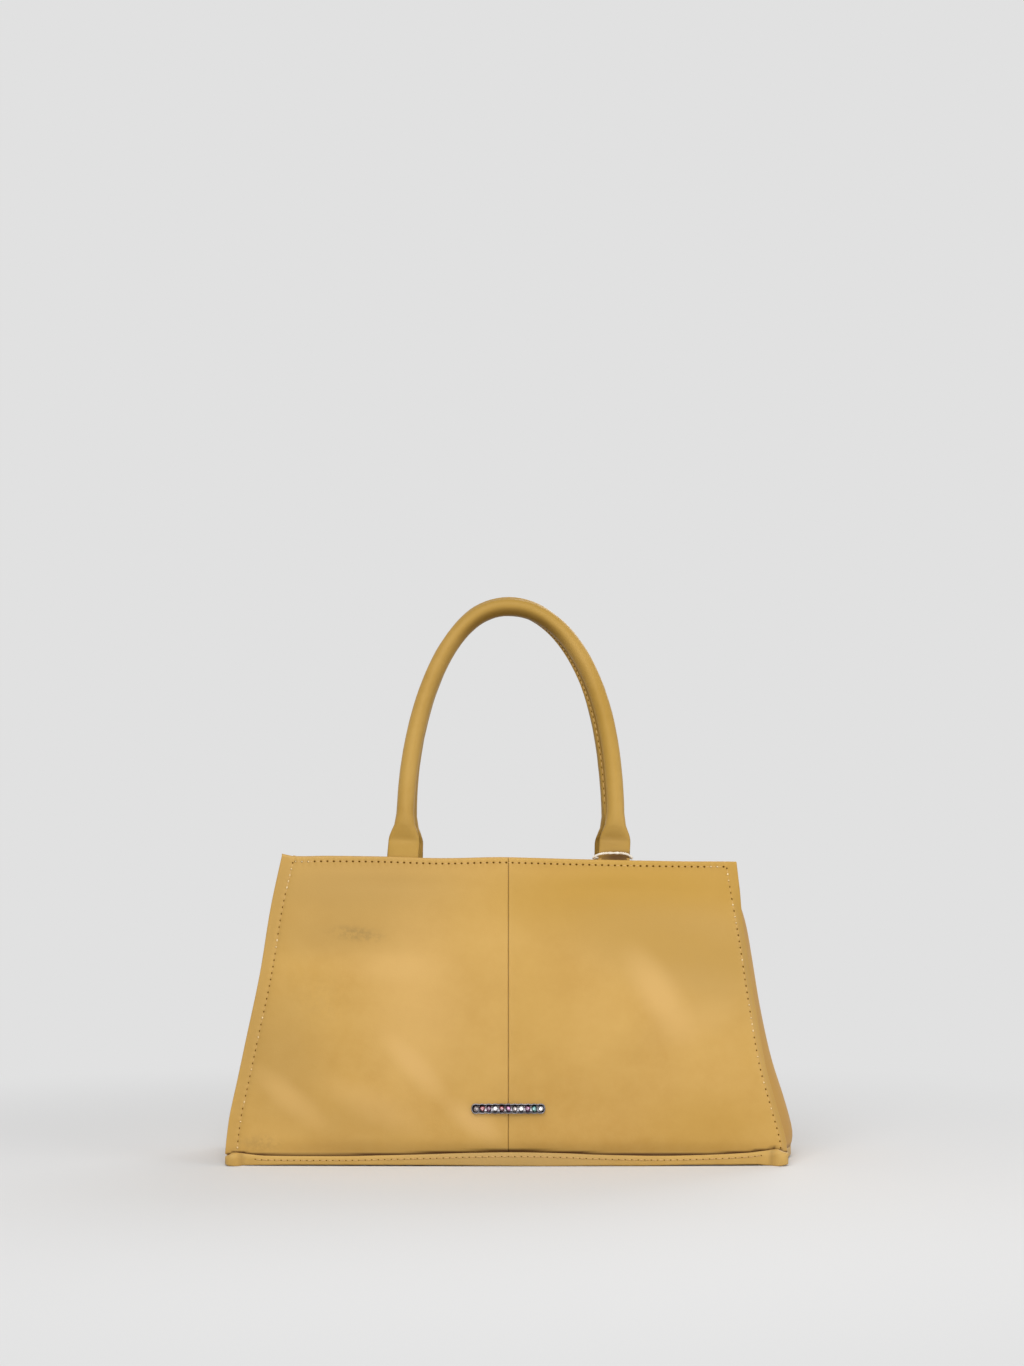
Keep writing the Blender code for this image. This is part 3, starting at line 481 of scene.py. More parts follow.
def tray_wall(point):
    """How thick the turned up edge is: one skin, and a pleat of it tucked in at each corner."""
    tucked = max(0.0, abs(point.y) - tray_half_depth + 0.0001) * ramp(abs(point.x), 0.1415, 0.1440)
    return tray_skin + 0.95 * tucked


def tray_loop(inset, height_of, skin=0.0):
    """One ring of the tray, drawn in toward its middle, on the outer (0) or inner (1) face of its edge."""
    loop = []
    for point, out in zip(outline, outward):
        spot = point - out * tray_wall(point) * skin
        loop.append((spot.x * (1 - inset / tray_middle_half_width),
                     spot.y * (1 - inset / tray_middle_half_depth), height_of(point)))
    return loop


def tray_rim(point):
    """The rim stands lower along the two ends, where it covers the foot of the gusset."""
    return eased(rim_heights, point.x) - tray_rim_drop * (1 - ramp(abs(point.y), 0.0390, 0.0425))


def tray_foot(point):
    return eased(foot_heights, point.x)


def tray_lift(point, inset):
    """The underside rises toward its front and back edges, which the board inside doesn't reach."""
    return tray_foot(point) * (1 - inset / tray_lift_reach)


def tray_side(share):
    """Heights up the outer side, from the end of the rounded edge (0) to just below the rim (1)."""
    def height_of(point):
        low = tray_foot(point) + tray_edge_radius
        return low + (tray_rim(point) - tray_lip - low) * share
    return height_of


# Painted shade: a dark line down the fold of each corner pleat.
def pleat_shade_at(point):
    beyond = abs(point.x) - pleat_place - corner_reach[-1 if point.x < 0 else 1]
    return 0.22 * math.exp(-(beyond / pleat_reach) ** 2)


pleat = [pleat_shade_at(point) for point in outline]
loops, edge_mask, crease_shade_mask = [], [], []


# Dark gives the painted shade of each point of a ring.
def tray_ring(loop, wear=0.0, dark=None):
    loops.append(loop)
    edge_mask.append([wear] * count)
    crease_shade_mask.append(dark or [0.0] * count)


def tray_bottom(shares, inset, height, skin):
    """Rings that close the flat middle of the tray, drawn in from front and back."""
    for share in shares:
        tray_ring([(x, y * (1 - share), height) for x, y, _ in tray_loop(inset, tray_foot, skin)])


tray_bottom((0.80, 0.55, 0.30), tray_lift_reach, 0.0, 0.0)
for inset in (tray_lift_reach, 0.0110, 0.0060, 0.0035):
    tray_ring(tray_loop(inset, lambda point, i=inset: tray_lift(point, i)))
for step in range(6):
    angle = math.pi / 2 * step / 5
    inset = tray_edge_radius * (1 - math.sin(angle))
    tray_ring(tray_loop(inset, lambda point, i=inset, a=angle: tray_lift(point, i)
                        + tray_edge_radius * (1 - math.cos(a))), 0.0, pleat)
tray_ring(tray_loop(0.0, tray_side(0.5)), 0.0, pleat)
tray_ring(tray_loop(0.0, tray_side(1.0)), 0.5, pleat)
tray_ring(tray_loop(0.0, tray_rim, 0.33), 1.0, pleat)
tray_ring(tray_loop(0.0, lambda point: tray_rim(point) + 0.3 * (tray_wall(point) - tray_skin), 0.60), 0.8)
# Painted shade: a little along the inner edge of the rim, and deep down its inner face, where the turned edge
# goes into the bag.
tray_ring(tray_loop(0.0, lambda point: tray_rim(point) - 0.0002, 0.90), 0.4, [0.3] * count)
for height_of, inset in ((lambda point: tray_rim(point) - tray_lip - 0.0001, 0.0),
                         (lambda point: tray_lift(point, 0.0) + tray_floor_top + 0.0010, 0.0),
                         (lambda point: tray_lift(point, 0.0030) + tray_floor_top, tray_skin)):
    tray_ring(tray_loop(inset, height_of, 1.0), 0.0, [0.95] * count)
tray_ring(tray_loop(0.0050, lambda point: tray_lift(point, 0.0065) + tray_floor_top, 1.0))
tray_bottom((0.0, 0.30, 0.55, 0.80), tray_lift_reach - tray_skin, tray_floor_top, 1.0)


def greyer_middle(tree, colour):
    """The strip is greyer along its middle."""
    mask = maths(tree, "MULTIPLY", soft_spot(tree, (0.0, 0.004), (0.075, 0.012)), 0.75)
    return colour_mix(tree, mask, colour, (0.430, 0.272, 0.092))


base_finish = leather_finish("camel_leather_base", (0.535, 0.326, 0.087), (0.470, 0.276, 0.066),
                             (0.600, 0.382, 0.118), (0.085, 0.028, 0.003), tones_and_painted_light=greyer_middle)
base_leather = lofted("base_leather", loops, base_finish, {"edge": edge_mask, "crease_shade": crease_shade_mask})
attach(base_leather, "bag")
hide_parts("base_panel")


# The four half panels. Each half of the front and back is one piece of camel leather, joined down the
# middle by a seam rolled inward, turned over at the mouth, and left with a flat margin at the side.
foot_lift = 0.0020
top_lifts = ((-0.1255, 0.0026), (-0.1225, 0.0018), (-0.117, 0.0008), (-0.100, 0.0009), (-0.070, 0.0006),
             (-0.037, -0.0004), (-0.006, 0.0002), (0.010, -0.0001), (0.030, -0.0007), (0.055, -0.0013),
             (0.073, -0.0017), (0.100, -0.0021), (0.120, -0.0021), (0.1265, -0.0019))
mouth_sag_start = 0.110
belly = {-1: 0.0044, 1: 0.0046}
belly_rise = ((0.0066, 0.0), (0.0095, 0.08), (0.014, 0.22), (0.022, 0.42), (0.0306, 0.58), (0.040, 0.74),
              (0.052, 0.90), (0.067, 1.0), (0.085, 0.94), (0.105, 0.72), (0.125, 0.38), (0.140, 0.14),
              (0.150, 0.04), (0.160, 0.0))
swell_start = (0.0066, 0.014)
swell_end = (0.150, 0.1635)
pillow = 0.0011
pillow_reach = 0.0042
seam_pull = 0.0007
seam_pull_reach = 0.0075
ripple = 0.00045
ripples_per_metre = 26
row_dip = 0.00030
margin_row_dip = 0.00035
row_dip_reach = 0.0010
margin_bend = (-0.0005, 0.0022)
roll_radius = 0.00055
cut_edge_radius = 0.0007
turned_depth = 0.0060
fold_crown = 0.0003
fold_depth = 0.0030
fold_depth_at_tab = 0.0016
tab_half_width = 0.00865
tab_middle = 0.0580
tab_clearance = 0.004
row_drop = 0.0028
stitch_pitch = 0.0035
# Soft lumps and hollows of each half: middle, half sizes, turn in degrees and height.
lumps = {
    (-1, -1): ((-0.072, 0.034, 0.030, 0.010, -24, 0.0009), (-0.084, 0.120, 0.018, 0.006, 8, -0.0008),
               (-0.100, 0.085, 0.022, 0.030, 10, 0.0007), (-0.045, 0.090, 0.020, 0.035, -8, -0.0006),
               (-0.060, 0.152, 0.050, 0.004, 0, -0.0006), (-0.118, 0.022, 0.016, 0.008, 30, -0.0008),
               (-0.022, 0.140, 0.012, 0.014, 0, 0.0005)),
    (-1, 1): ((0.074, 0.075, 0.034, 0.011, 28, 0.0009), (0.050, 0.110, 0.020, 0.024, -12, -0.0006),
              (0.024, 0.128, 0.012, 0.026, 0, 0.0007), (0.105, 0.040, 0.022, 0.012, -20, 0.0005),
              (0.060, 0.151, 0.050, 0.004, 0, -0.0006), (0.104, 0.108, 0.014, 0.022, 8, 0.0006),
              (0.040, 0.030, 0.030, 0.009, 6, -0.0006)),
    (1, -1): ((-0.070, 0.050, 0.034, 0.012, 20, 0.0008), (-0.060, 0.118, 0.026, 0.010, -14, -0.0006),
              (-0.060, 0.151, 0.050, 0.004, 0, -0.0005)),
    (1, 1): ((0.066, 0.060, 0.034, 0.014, -22, 0.0008), (0.058, 0.116, 0.024, 0.012, 12, -0.0006),
             (0.060, 0.151, 0.050, 0.004, 0, -0.0005))}


def wall_point(face, across, up, depth):
    """A point of the front or back wall: across the bag, up the slope, and in from the outer face."""
    up = up + eased(top_lifts, across) * ramp(up, mouth_sag_start, wall_slope)
    out = base_half_depth - depth * math.cos(wall_lean) - up * math.sin(wall_lean)
    return Vector((across, face * out, up * math.cos(wall_lean) - depth * math.sin(wall_lean)))


def swell(face, hand, reach, height):
    """How far a half panel stands out of its flat wall, at a reach from the middle seam."""
    sewn = eased(seam_lines[hand], height)
    share = min(reach / sewn, 1.0)
    to_seam = max(sewn - reach, 0.0)
    fade = ramp(height, *swell_start) * (1 - ramp(height, *swell_end))
    out = belly[face] * eased(belly_rise, height) * (1 - share ** 2.6)
    out += pillow * fade * (1 - math.exp(-to_seam / pillow_reach))
    out -= seam_pull * fade * math.exp(-(reach / seam_pull_reach) ** 2)
    across = hand * reach
    for x, z, long, short, turn, rise in lumps[(face, hand)]:
        angle = math.radians(turn)
        first = ((across - x) * math.cos(angle) + (height - z) * math.sin(angle)) / long
        second = ((height - z) * math.cos(angle) - (across - x) * math.sin(angle)) / short
        out += rise * fade * math.exp(-first * first - second * second)
    slow = noise.noise(Vector((across * ripples_per_metre, face * 3.7, height * ripples_per_metre)))
    return out + ripple * slow * fade * min(to_seam / 0.012, 1.0)


def panel_point(face, hand, reach, up, depth):
    """A point of a half panel, swollen inside its side seam and turned back outside it."""
    height = up * math.cos(wall_lean)
    sewn = eased(seam_lines[hand], height)
    beyond = reach - sewn
    if beyond <= 0:
        row = row_dip * math.exp(-(beyond / row_dip_reach) ** 2)
        roll = 0.0
        if reach < roll_radius:
            roll = roll_radius - math.sqrt(roll_radius ** 2 - (roll_radius - reach) ** 2)
        return wall_point(face, hand * reach, up, depth + row + roll - swell(face, hand, reach, height))
    turn = eased(margin_turns[hand], height) * ramp(beyond, *margin_bend)
    inward = depth + margin_row_dip * math.exp(-(beyond / row_dip_reach) ** 2)
    return wall_point(face, hand * (sewn + beyond * math.cos(turn) - inward * math.sin(turn)),
                      up, beyond * math.sin(turn) + inward * math.cos(turn))


def clear_of_tab(across):
    """0 where a handle's tab goes in, and 1 a little beside it."""
    return ramp(abs(abs(across) - tab_middle), tab_half_width, tab_half_width + tab_clearance)


def fold_depth_at(across):
    """How deep the turned edge reaches over the band. It is pressed thin where a tab comes out."""
    return fold_depth_at_tab + (fold_depth - fold_depth_at_tab) * clear_of_tab(across)


def steps_between(low, high, spacing):
    count = max(1, round((high - low) / spacing))
    return [low + (high - low) * step / count for step in range(1, count)]


def slab(name, outer, inner, crest, finish, masks=None):
    """A closed sheet from two grids of points. Each row of the crest joins the two grids' top edges."""
    mesh = bmesh.new()
    layers = mask_layers(mesh, masks or {})
    tall = len(outer[0])
    rows = []
    for out_row, top_row, in_row in zip(outer, crest, inner):
        rows.append([mesh.verts.new(point) for point in list(out_row) + list(top_row) + list(in_row)[::-1]])
    count = len(rows[0])
    join_rings(mesh, rows, capped=False)
    for row in (rows[0], rows[-1]):
        for index in range(tall - 1):
            mesh.faces.new((row[index], row[index + 1], row[count - 2 - index], row[count - 1 - index]))
        if count > 2 * tall:
            mesh.faces.new(row[tall - 1:count - tall + 1])
    for mask, grid in (masks or {}).items():
        for row, values in zip(rows, grid):
            full = list(values) + [values[-1]] * (count - 2 * tall) + list(values)[::-1]
            for vertex, value in zip(row, full):
                vertex[layers[mask]] = value
    return build_piece(name, mesh, finish)


def rounded_crest(front, back, lift, steps=4):
    """The points of a rounded top edge, from a sheet's front face over to its back face."""
    middle, half = (front + back) / 2, (front - back) / 2
    return [middle + half * math.cos(math.pi * step / steps) + lift * math.sin(math.pi * step / steps)
            for step in range(1, steps)]


def wall_up(face):
    """The way up the slope of the front or back wall."""
    return Vector((0, -math.sin(wall_lean) * face, math.cos(wall_lean)))


def panel_tones_and_painted_light(tree, colour):
    """Tones of the panels: duller and deeper patches of the dye, which also stand as painted shade toward the
    top and the sides, pale patches that are painted satin highlights, and three faint rubs.
    """
    # Painted light: the pale spots are painted highlights, and the dull and deep spots are painted shade as
    # well as shifts of the dye.
    for centre, size, turn, tint, strength in (
            ((-0.1365, 0.085), (0.0050, 0.110), -9.7, dull_tone_and_painted_shade, 0.40),
            ((0.1385, 0.085), (0.0060, 0.110), 10.5, deep_tone_and_painted_shade, 0.70),
            ((-0.085, 0.150), (0.075, 0.026), 0, dull_tone_and_painted_shade, 0.85),
            ((-0.092, 0.124), (0.060, 0.015), 0, dull_tone_and_painted_shade, 0.65),
            ((-0.125, 0.060), (0.032, 0.045), 12, dull_tone_and_painted_shade, 0.60),
            ((-0.085, 0.020), (0.040, 0.022), 0, dull_tone_and_painted_shade, 0.35),
            ((-0.050, 0.085), (0.032, 0.060), 0, painted_satin_highlight, 0.45),
            ((-0.073, 0.032), (0.034, 0.010), -26, painted_satin_highlight, 0.45),
            ((-0.118, 0.036), (0.026, 0.008), -40, painted_satin_highlight, 0.55),
            ((0.070, 0.149), (0.095, 0.027), 2, deep_tone_and_painted_shade, 0.80),
            ((0.090, 0.120), (0.070, 0.026), -8, dull_tone_and_painted_shade, 0.70),
            ((0.112, 0.100), (0.034, 0.028), -30, dull_tone_and_painted_shade, 0.45),
            ((0.090, 0.119), (0.066, 0.018), -10, deep_tone_and_painted_shade, 0.35),
            ((0.020, 0.100), (0.024, 0.080), 0, deep_tone_and_painted_shade, 0.15),
            ((0.098, 0.076), (0.030, 0.012), 20, painted_satin_highlight, 0.30),
            ((0.082, 0.092), (0.032, 0.012), -57, painted_satin_highlight, 0.70),
            ((-0.063, 0.107), (0.032, 0.010), 0, painted_satin_highlight, 0.40),
            ((-0.051, 0.054), (0.026, 0.008), -47, painted_satin_highlight, 0.80),
            ((-0.019, 0.024), (0.020, 0.008), -35, painted_satin_highlight, 0.80),
            ((0.110, 0.022), (0.044, 0.020), 0, deep_tone_and_painted_shade, 0.35)):
        mask = maths(tree, "MULTIPLY", soft_spot(tree, centre, size, turn), strength)
        colour = colour_mix(tree, mask, colour, tint)
    streaks = spread(tree, noise_value(tree, object_place(tree), 300.0, 3.0, 0.7), 0.40, 0.62)
    for centre, size, turn, strength in (((-0.0830, 0.1250), (0.017, 0.0046), -6, 0.36),
                                         ((-0.1010, 0.0900), (0.022, 0.0160), 0, 0.05),
                                         ((-0.1340, 0.0120), (0.014, 0.0060), 0, 0.20)):
        rub = maths(tree, "MULTIPLY", soft_spot(tree, centre, size, turn, 0.05), strength)
        colour = colour_mix(tree, maths(tree, "MULTIPLY", rub, streaks), colour, camel_rub)
    return colour


# Dull and deep are partly tones of the dye and partly painted shade; pale is a painted highlight.
dull_tone_and_painted_shade = (0.452, 0.270, 0.072)
deep_tone_and_painted_shade = (0.452, 0.250, 0.032)
painted_satin_highlight = (0.645, 0.398, 0.134)
camel_rub = (0.160, 0.110, 0.045)
panel_finish = leather_finish("camel_leather_panels", camel, camel_shade, camel_light, (0.075, 0.024, 0.002),
                              tones_and_painted_light=panel_tones_and_painted_light)


def panel_heights():
    """Heights up the slope, closest together where the panel bends: at its foot and at the mouth."""
    low = [foot_lift, 0.0035, 0.0050, 0.0062, 0.0072, 0.0082, 0.0095, 0.0112, 0.0132, 0.0156, 0.0184]
    high = [wall_slope - drop for drop in (0.0150, 0.0125, 0.0100, 0.0080, 0.0064, 0.0052, 0.0043, 0.0035,
                                           0.0028, 0.0021, 0.0015, 0.0009)]
    return low + steps_between(low[-1], high[0], 0.0030) + high


def margin_at(height):
    """The width of the flat margin. Its foot is drawn in behind the rim of the base leather."""
    return margin_width - margin_tuck * (1 - ramp(height, 0.0045, 0.0064)) ** 2


by_middle_seam = [0.00006, 0.00025, 0.0005, 0.0009, 0.0014, 0.0022, 0.0034, 0.0050, 0.0070]
open_stations = 44
by_side_seam = [-0.0080, -0.0055, -0.0036, -0.0022, -0.0012, -0.0005]
over_margin = [0.0, 0.0006, 0.0014, 0.0024, 0.0036, 0.0050] + [
    margin_width - inset for inset in (0.0010, 0.0005, 0.0002, 0.0)]


def panel_reach(station, hand, height):
    """How far from the middle seam a column of points lies at a height."""
    sewn = eased(seam_lines[hand], height)
    if station < len(by_middle_seam):
        return by_middle_seam[station]
    station -= len(by_middle_seam)
    if station < open_stations:
        start, end = by_middle_seam[-1], sewn + by_side_seam[0]
        return start + (end - start) * ((station + 1) / (open_stations + 1))
    beyond = (by_side_seam + over_margin)[station - open_stations]
    return sewn + beyond * (margin_at(height) / margin_width if beyond > 0 else 1)


def panel_masks(hand, reach, up):
    """What the panels' finish reads at a point: pucker by the two rows, worn edges, and painted shade down the
    middle seam and at the foot behind the base rim.
    """
    height = up * math.cos(wall_lean)
    sewn = eased(seam_lines[hand], height)
    to_edge = sewn + margin_at(height) - reach
    to_top = wall_slope - up
    by_mouth_row = ramp(sewn - reach, 0.0, 0.0020) * math.exp(-((to_top - row_drop + 0.0004) / 0.0020) ** 2)
    rim_here = eased(rim_heights, hand * reach)
    seam_shade = 0.24 * (1 - ramp(reach, 0.0001, 0.0004))
    foot_shade = 1 - ramp(height, rim_here + 0.0005, rim_here + 0.0011)
    return {"beside_row": 0.45 * math.exp(-((reach - sewn) / 0.0016) ** 2),
            "run": up / stitch_pitch,
            "beside_mouth": 0.80 * by_mouth_row,
            "mouth_run": reach / stitch_pitch,
            "edge": max(ramp(-to_edge, -0.0012, 0.0), ramp(-to_top, -0.0022, 0.0) * 0.7),
            "crease_shade": min(seam_shade + foot_shade, 1.0)}


def half_panel(name, face, hand):
    ups = panel_heights()
    outer, inner, crest, spots = [], [], [], []
    for station in range(len(by_middle_seam) + open_stations + len(by_side_seam) + len(over_margin)):
        out_row, in_row, mask_row = [], [], []
        for up in ups:
            height = up * math.cos(wall_lean)
            reach = panel_reach(station, hand, height)
            to_edge = eased(seam_lines[hand], height) + margin_at(height) - reach
            pinch = 0.0
            if to_edge < cut_edge_radius:
                rounded = 1 - ((cut_edge_radius - to_edge) / cut_edge_radius) ** 2
                pinch = cut_edge_radius * (1 - math.sqrt(max(rounded, 0.0)))
            back = leather
            turned = turned_depth - (wall_slope - up)
            if turned > 0:
                back += (fold_depth_at(hand * reach) - leather) * ramp(turned, 0.0, 0.0020)
            out_row.append(panel_point(face, hand, reach, up, pinch))
            in_row.append(panel_point(face, hand, reach, up, back - pinch))
            mask_row.append(panel_masks(hand, reach, up))
        lift = wall_up(face) * (wall_slope + fold_crown - ups[-1])
        outer.append(out_row)
        inner.append(in_row)
        crest.append(rounded_crest(out_row[-1], in_row[-1], lift, 6))
        spots.append(mask_row)
    masks = {mask: [[spot[mask] for spot in row] for row in spots] for mask in spots[0][0]}
    return slab(name, outer, inner, crest, panel_finish, masks)


for face, word in ((-1, "front"), (1, "rear")):
    for hand, side_word in ((-1, "left"), (1, "right")):
        panel = half_panel(f"{word}_{side_word}_panel_leather", face, hand)
        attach(panel, "bag")
        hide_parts(f"{word}_panel_{side_word}")


# The gussets. Each side is one strip of the same leather, its margins sewn behind the panels' margins
# and its middle free to bulge, more on the right where the bag has been leaned on.
gusset_skin = 0.0013
gusset_gap = 0.0002
gusset_top = body_height - 0.0002
gusset_crown = 0.0006
gusset_ripple = 0.0004
web_columns = 15
gusset_finish = leather_finish("camel_leather_gussets", (0.520, 0.283, 0.050), (0.462, 0.238, 0.038),
                               (0.575, 0.328, 0.078), camel_crease_shade, gloss=0.2)


def gusset_path(hand, height):
    """The strip's middle line seen from above, from the front margin round to the back one."""
    sewn = eased(seam_lines[hand], height)
    turn = eased(margin_turns[hand], height)
    face_depth = half_depth_at(height)
    behind = leather + gusset_gap + gusset_skin / 2
    front = []
    for beyond in (margin_width - 0.0002, margin_width - 0.0012, 0.0036, 0.0022):
        beyond *= margin_at(height) / margin_width
        bend = turn * ramp(beyond, *margin_bend)
        front.append((sewn + beyond * math.cos(bend) - behind * math.sin(bend),
                      -face_depth + beyond * math.sin(bend) + behind * math.cos(bend)))
    front.append((sewn + 0.0004, -face_depth + behind))
    front.append((sewn - 0.0008, -face_depth + behind + 0.0006))
    web = []
    start = face_depth - behind - 0.0022
    bulge = sewn_bulge(hand, height)
    for step in range(web_columns):
        share = step / (web_columns - 1)
        held = math.sin(math.pi * share)
        wave = gusset_ripple * noise.noise(Vector((hand * 5.0, share * 3, height * 30)))
        web.append((sewn - 0.0010 + bulge * held ** 1.4 + wave * held, -start + 2 * start * share))
    path = front + web + [(x, -y) for x, y in front[::-1]]
    return corners_cut(corners_cut(path))


def corners_cut(path):
    """The same open path with its corners cut back by a quarter of the lines that meet there."""
    made = [path[0]]
    for start, end in zip(path, path[1:]):
        for part in (1, 3):
            made.append(tuple((a * (4 - part) + b * part) / 4 for a, b in zip(start, end)))
    return made + [path[-1]]


def gusset(name, hand):
    heights = [0.0020, 0.0035, 0.0050, 0.0066, 0.0085, 0.0110, 0.0140, 0.0175]
    high = [gusset_top - drop for drop in (0.004, 0.0022, 0.0010, 0.0004)]
    heights += steps_between(heights[-1], high[0], 0.0042) + high
    columns = []
    for height in heights:
        path = [Vector(point) for point in gusset_path(hand, height)]
        made = []
        for index, point in enumerate(path):
            along = (path[min(index + 1, len(path) - 1)] - path[max(index - 1, 0)]).normalized()
            out = Vector((along.y, -along.x)) * gusset_skin / 2
            made.append((point + out, point - out))
        columns.append(made)
    outer, inner, crest, edges, crease_shades = [], [], [], [], []

    def lifted(x, y, height):
        shift = eased(top_lifts, hand * x) * ramp(height, mouth_sag_start, body_height)
        return Vector((hand * x, y, height + shift))

    for index in range(len(columns[0])):
        out_row = [lifted(*column[index][0], height) for column, height in zip(columns, heights)]
        in_row = [lifted(*column[index][1], height) for column, height in zip(columns, heights)]
        outer.append(out_row)
        inner.append(in_row)
        crest.append(rounded_crest(out_row[-1], in_row[-1], Vector((0, 0, gusset_crown))))
        rim = 1.0 if index < 3 or index > len(columns[0]) - 4 else 0.0
        edges.append([max(rim, ramp(height, gusset_top - 0.002, gusset_top)) for height in heights])
        # Painted shade at the foot of the strip, behind the rim of the base leather.
        crease_shades.append([0.8 * (1 - ramp(height, 0.0060, 0.0085)) for height in heights])
    return slab(name, outer, inner, crest, gusset_finish, {"edge": edges, "crease_shade": crease_shades})


for hand, side_word in ((-1, "left"), (1, "right")):
    strip = gusset(f"{side_word}_gusset_leather", hand)
    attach(strip, "bag")
    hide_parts(f"gusset_{side_word}")


# The stitching of the body. Rows of locked stitches run under the mouth, down each side seam and along
# the base leather: each stitch is a short bead of thread between two needle holes.
thread_radius = 0.00030
thread_sides = 6
bead_shape = ((0.0, 0.30), (0.10, 0.78), (0.30, 1.0), (0.70, 1.0), (0.90, 0.78), (1.0, 0.30))
hole_radius = 0.00052
hole_sides = 8
hole_rim_sink = 0.00012
hole_crown = 0.00007
hole_depth = 0.0003
drawn_thread_radius = 0.00044
drawn_thread_sink = 0.00004
drawn_thread_arch = 0.00012
side_row_foot = 0.0095
base_row_start = -0.1365
base_row_stitches = 78
base_row_drop = 0.0022
base_row_stand = 0.00022


def thread_finish(name, body, shade):
    """Twisted sewing thread, a little fuzzy, with the darker groove of its twist."""
    made, tree, shader = new_finish(name)
    place = object_place(tree)
    twist = noise_value(tree, place, 2600.0, 2.0, 0.6)
    fuzz = noise_value(tree, place, 700.0, 2.0, 0.6)
    tree.links.new(colour_mix(tree, spread(tree, fuzz, 0.35, 0.65), body, shade), shader.inputs["Base Color"])
    tree.links.new(spread(tree, twist, 0.3, 0.7, 0.55, 0.75), shader.inputs["Roughness"])
    set_normal(tree, shader, twist, 0.00008, 0.6)
    return made


camel_thread = thread_finish("camel_thread", (0.640, 0.400, 0.150), (0.480, 0.280, 0.085))
cream_thread = thread_finish("cream_thread", (0.900, 0.740, 0.440), (0.720, 0.520, 0.240))
# The needle holes are dark ovals of painted shade, set where the holes would be dark.
needle_hole_shade = leather_finish("needle_hole_shade", (0.125, 0.052, 0.004), (0.090, 0.036, 0.003),
                             (0.160, 0.074, 0.008), (0.060, 0.026, 0.003), roughness=0.95, gloss=0.05)


def ring_points(mesh, sides, place_of):
    """A ring of mesh points at even turns, placed by a function of each turn's cosine and sine."""
    turns = [math.tau * k / sides for k in range(sides)]
    return [mesh.verts.new(place_of(math.cos(turn), math.sin(turn))) for turn in turns]


def cross_ways(along, up):
    """The two ways across a run: to its side, and up from it."""
    side = along.cross(up).normalized()
    return side, side.cross(along).normalized()


def add_bead(mesh, start, end, up, radius, sink, finish_index, arch=0.0):
    """A small rounded bead from start to end, lying on a surface whose outward way is up."""
    along = end - start
    length = along.length
    along.normalize()
    side, rise = cross_ways(along, up)
    rings = []
    for share, width in bead_shape:
        centre = start + along * length * share + rise * (arch * math.sin(math.pi * share) - sink)
        rings.append(ring_points(mesh, thread_sides, lambda cosine, sine: (
            centre + side * radius * width * cosine + rise * radius * width * sine)))
    for face in join_rings(mesh, rings):
        face.material_index = finish_index


def add_hole(mesh, centre, along, up, long, wide, finish_index):
    """A needle hole: a dark oval of painted shade, a little sunk at its rim and crowned less than a hair."""
    side = up.cross(along).normalized()

    def oval(size, stand):
        return ring_points(mesh, hole_sides, lambda cosine, sine: (
            centre + (along * long * cosine + side * wide * sine) * size + up * stand))

    rim, inner = oval(1.0, -hole_rim_sink), oval(0.8, hole_crown)
    back = mesh.verts.new(centre - up * hole_depth)
    faces = [mesh.faces.new(inner)]
    for k in range(hole_sides):
        after = (k + 1) % hole_sides
        faces.append(mesh.faces.new((rim[k], rim[after], inner[after], inner[k])))
        faces.append(mesh.faces.new((rim[after], rim[k], back)))
    for face in faces:
        face.material_index = finish_index


def stitch_row(name, body, spots, thread, hole_size=hole_radius, bead=0.66, radius=thread_radius,
               loose=(0.0, (0, 0), None), seed=0):
    """Stitches along (point, outward) spots one pitch apart, with a needle hole at each spot.

    Loose gives the share of stitches whose bobbin thread is pulled up at the hole, how many are so
    at the two ends of the row, and the thread's finish.
    """
    mesh = bmesh.new()
    pulled = random.Random(seed + 7)
    for number, ((start, up), (end, _)) in enumerate(zip(spots, spots[1:])):
        along = end - start
        margin = along * (1 - bead) / 2
        add_bead(mesh, start + margin, end - margin, up, radius, radius * 0.80, 0, radius * 0.5)
        drawn = pulled.random()
        if drawn < loose[0] or number < loose[1][0] or number >= len(spots) - 1 - loose[1][1]:
            reach = along * (0.12 + 0.12 * pulled.random())
            add_bead(mesh, start - reach * 0.6, start + reach, up, drawn_thread_radius, drawn_thread_sink, 2,
                     drawn_thread_arch)
    along = (spots[1][0] - spots[0][0]).normalized()
    for spot, up in spots:
        add_hole(mesh, spot, along, up, hole_size, hole_size * 0.9, 1)
    made = build_piece(name, mesh, thread)
    made.data.materials.append(needle_hole_shade)
    made.data.materials.append(loose[2] or thread)
    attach(made, body)


def even_places(start, end, pitch=stitch_pitch):
    """Places one pitch apart, from the start up to the end."""
    places = []
    while start < end:
        places.append(start)
        start += pitch
    return places


def surface_spot(place_of, first, second, step=0.0004):
    """A point of a surface and its outward way, from a function of two numbers."""
    here = place_of(first, second)
    along = place_of(first + step, second) - here
    up = place_of(first, second + step) - here
    return here, along.cross(up).normalized()


def outward_spot(spot, way):
    here, out = spot
    return (here, out if out.dot(way) > 0 else -out)


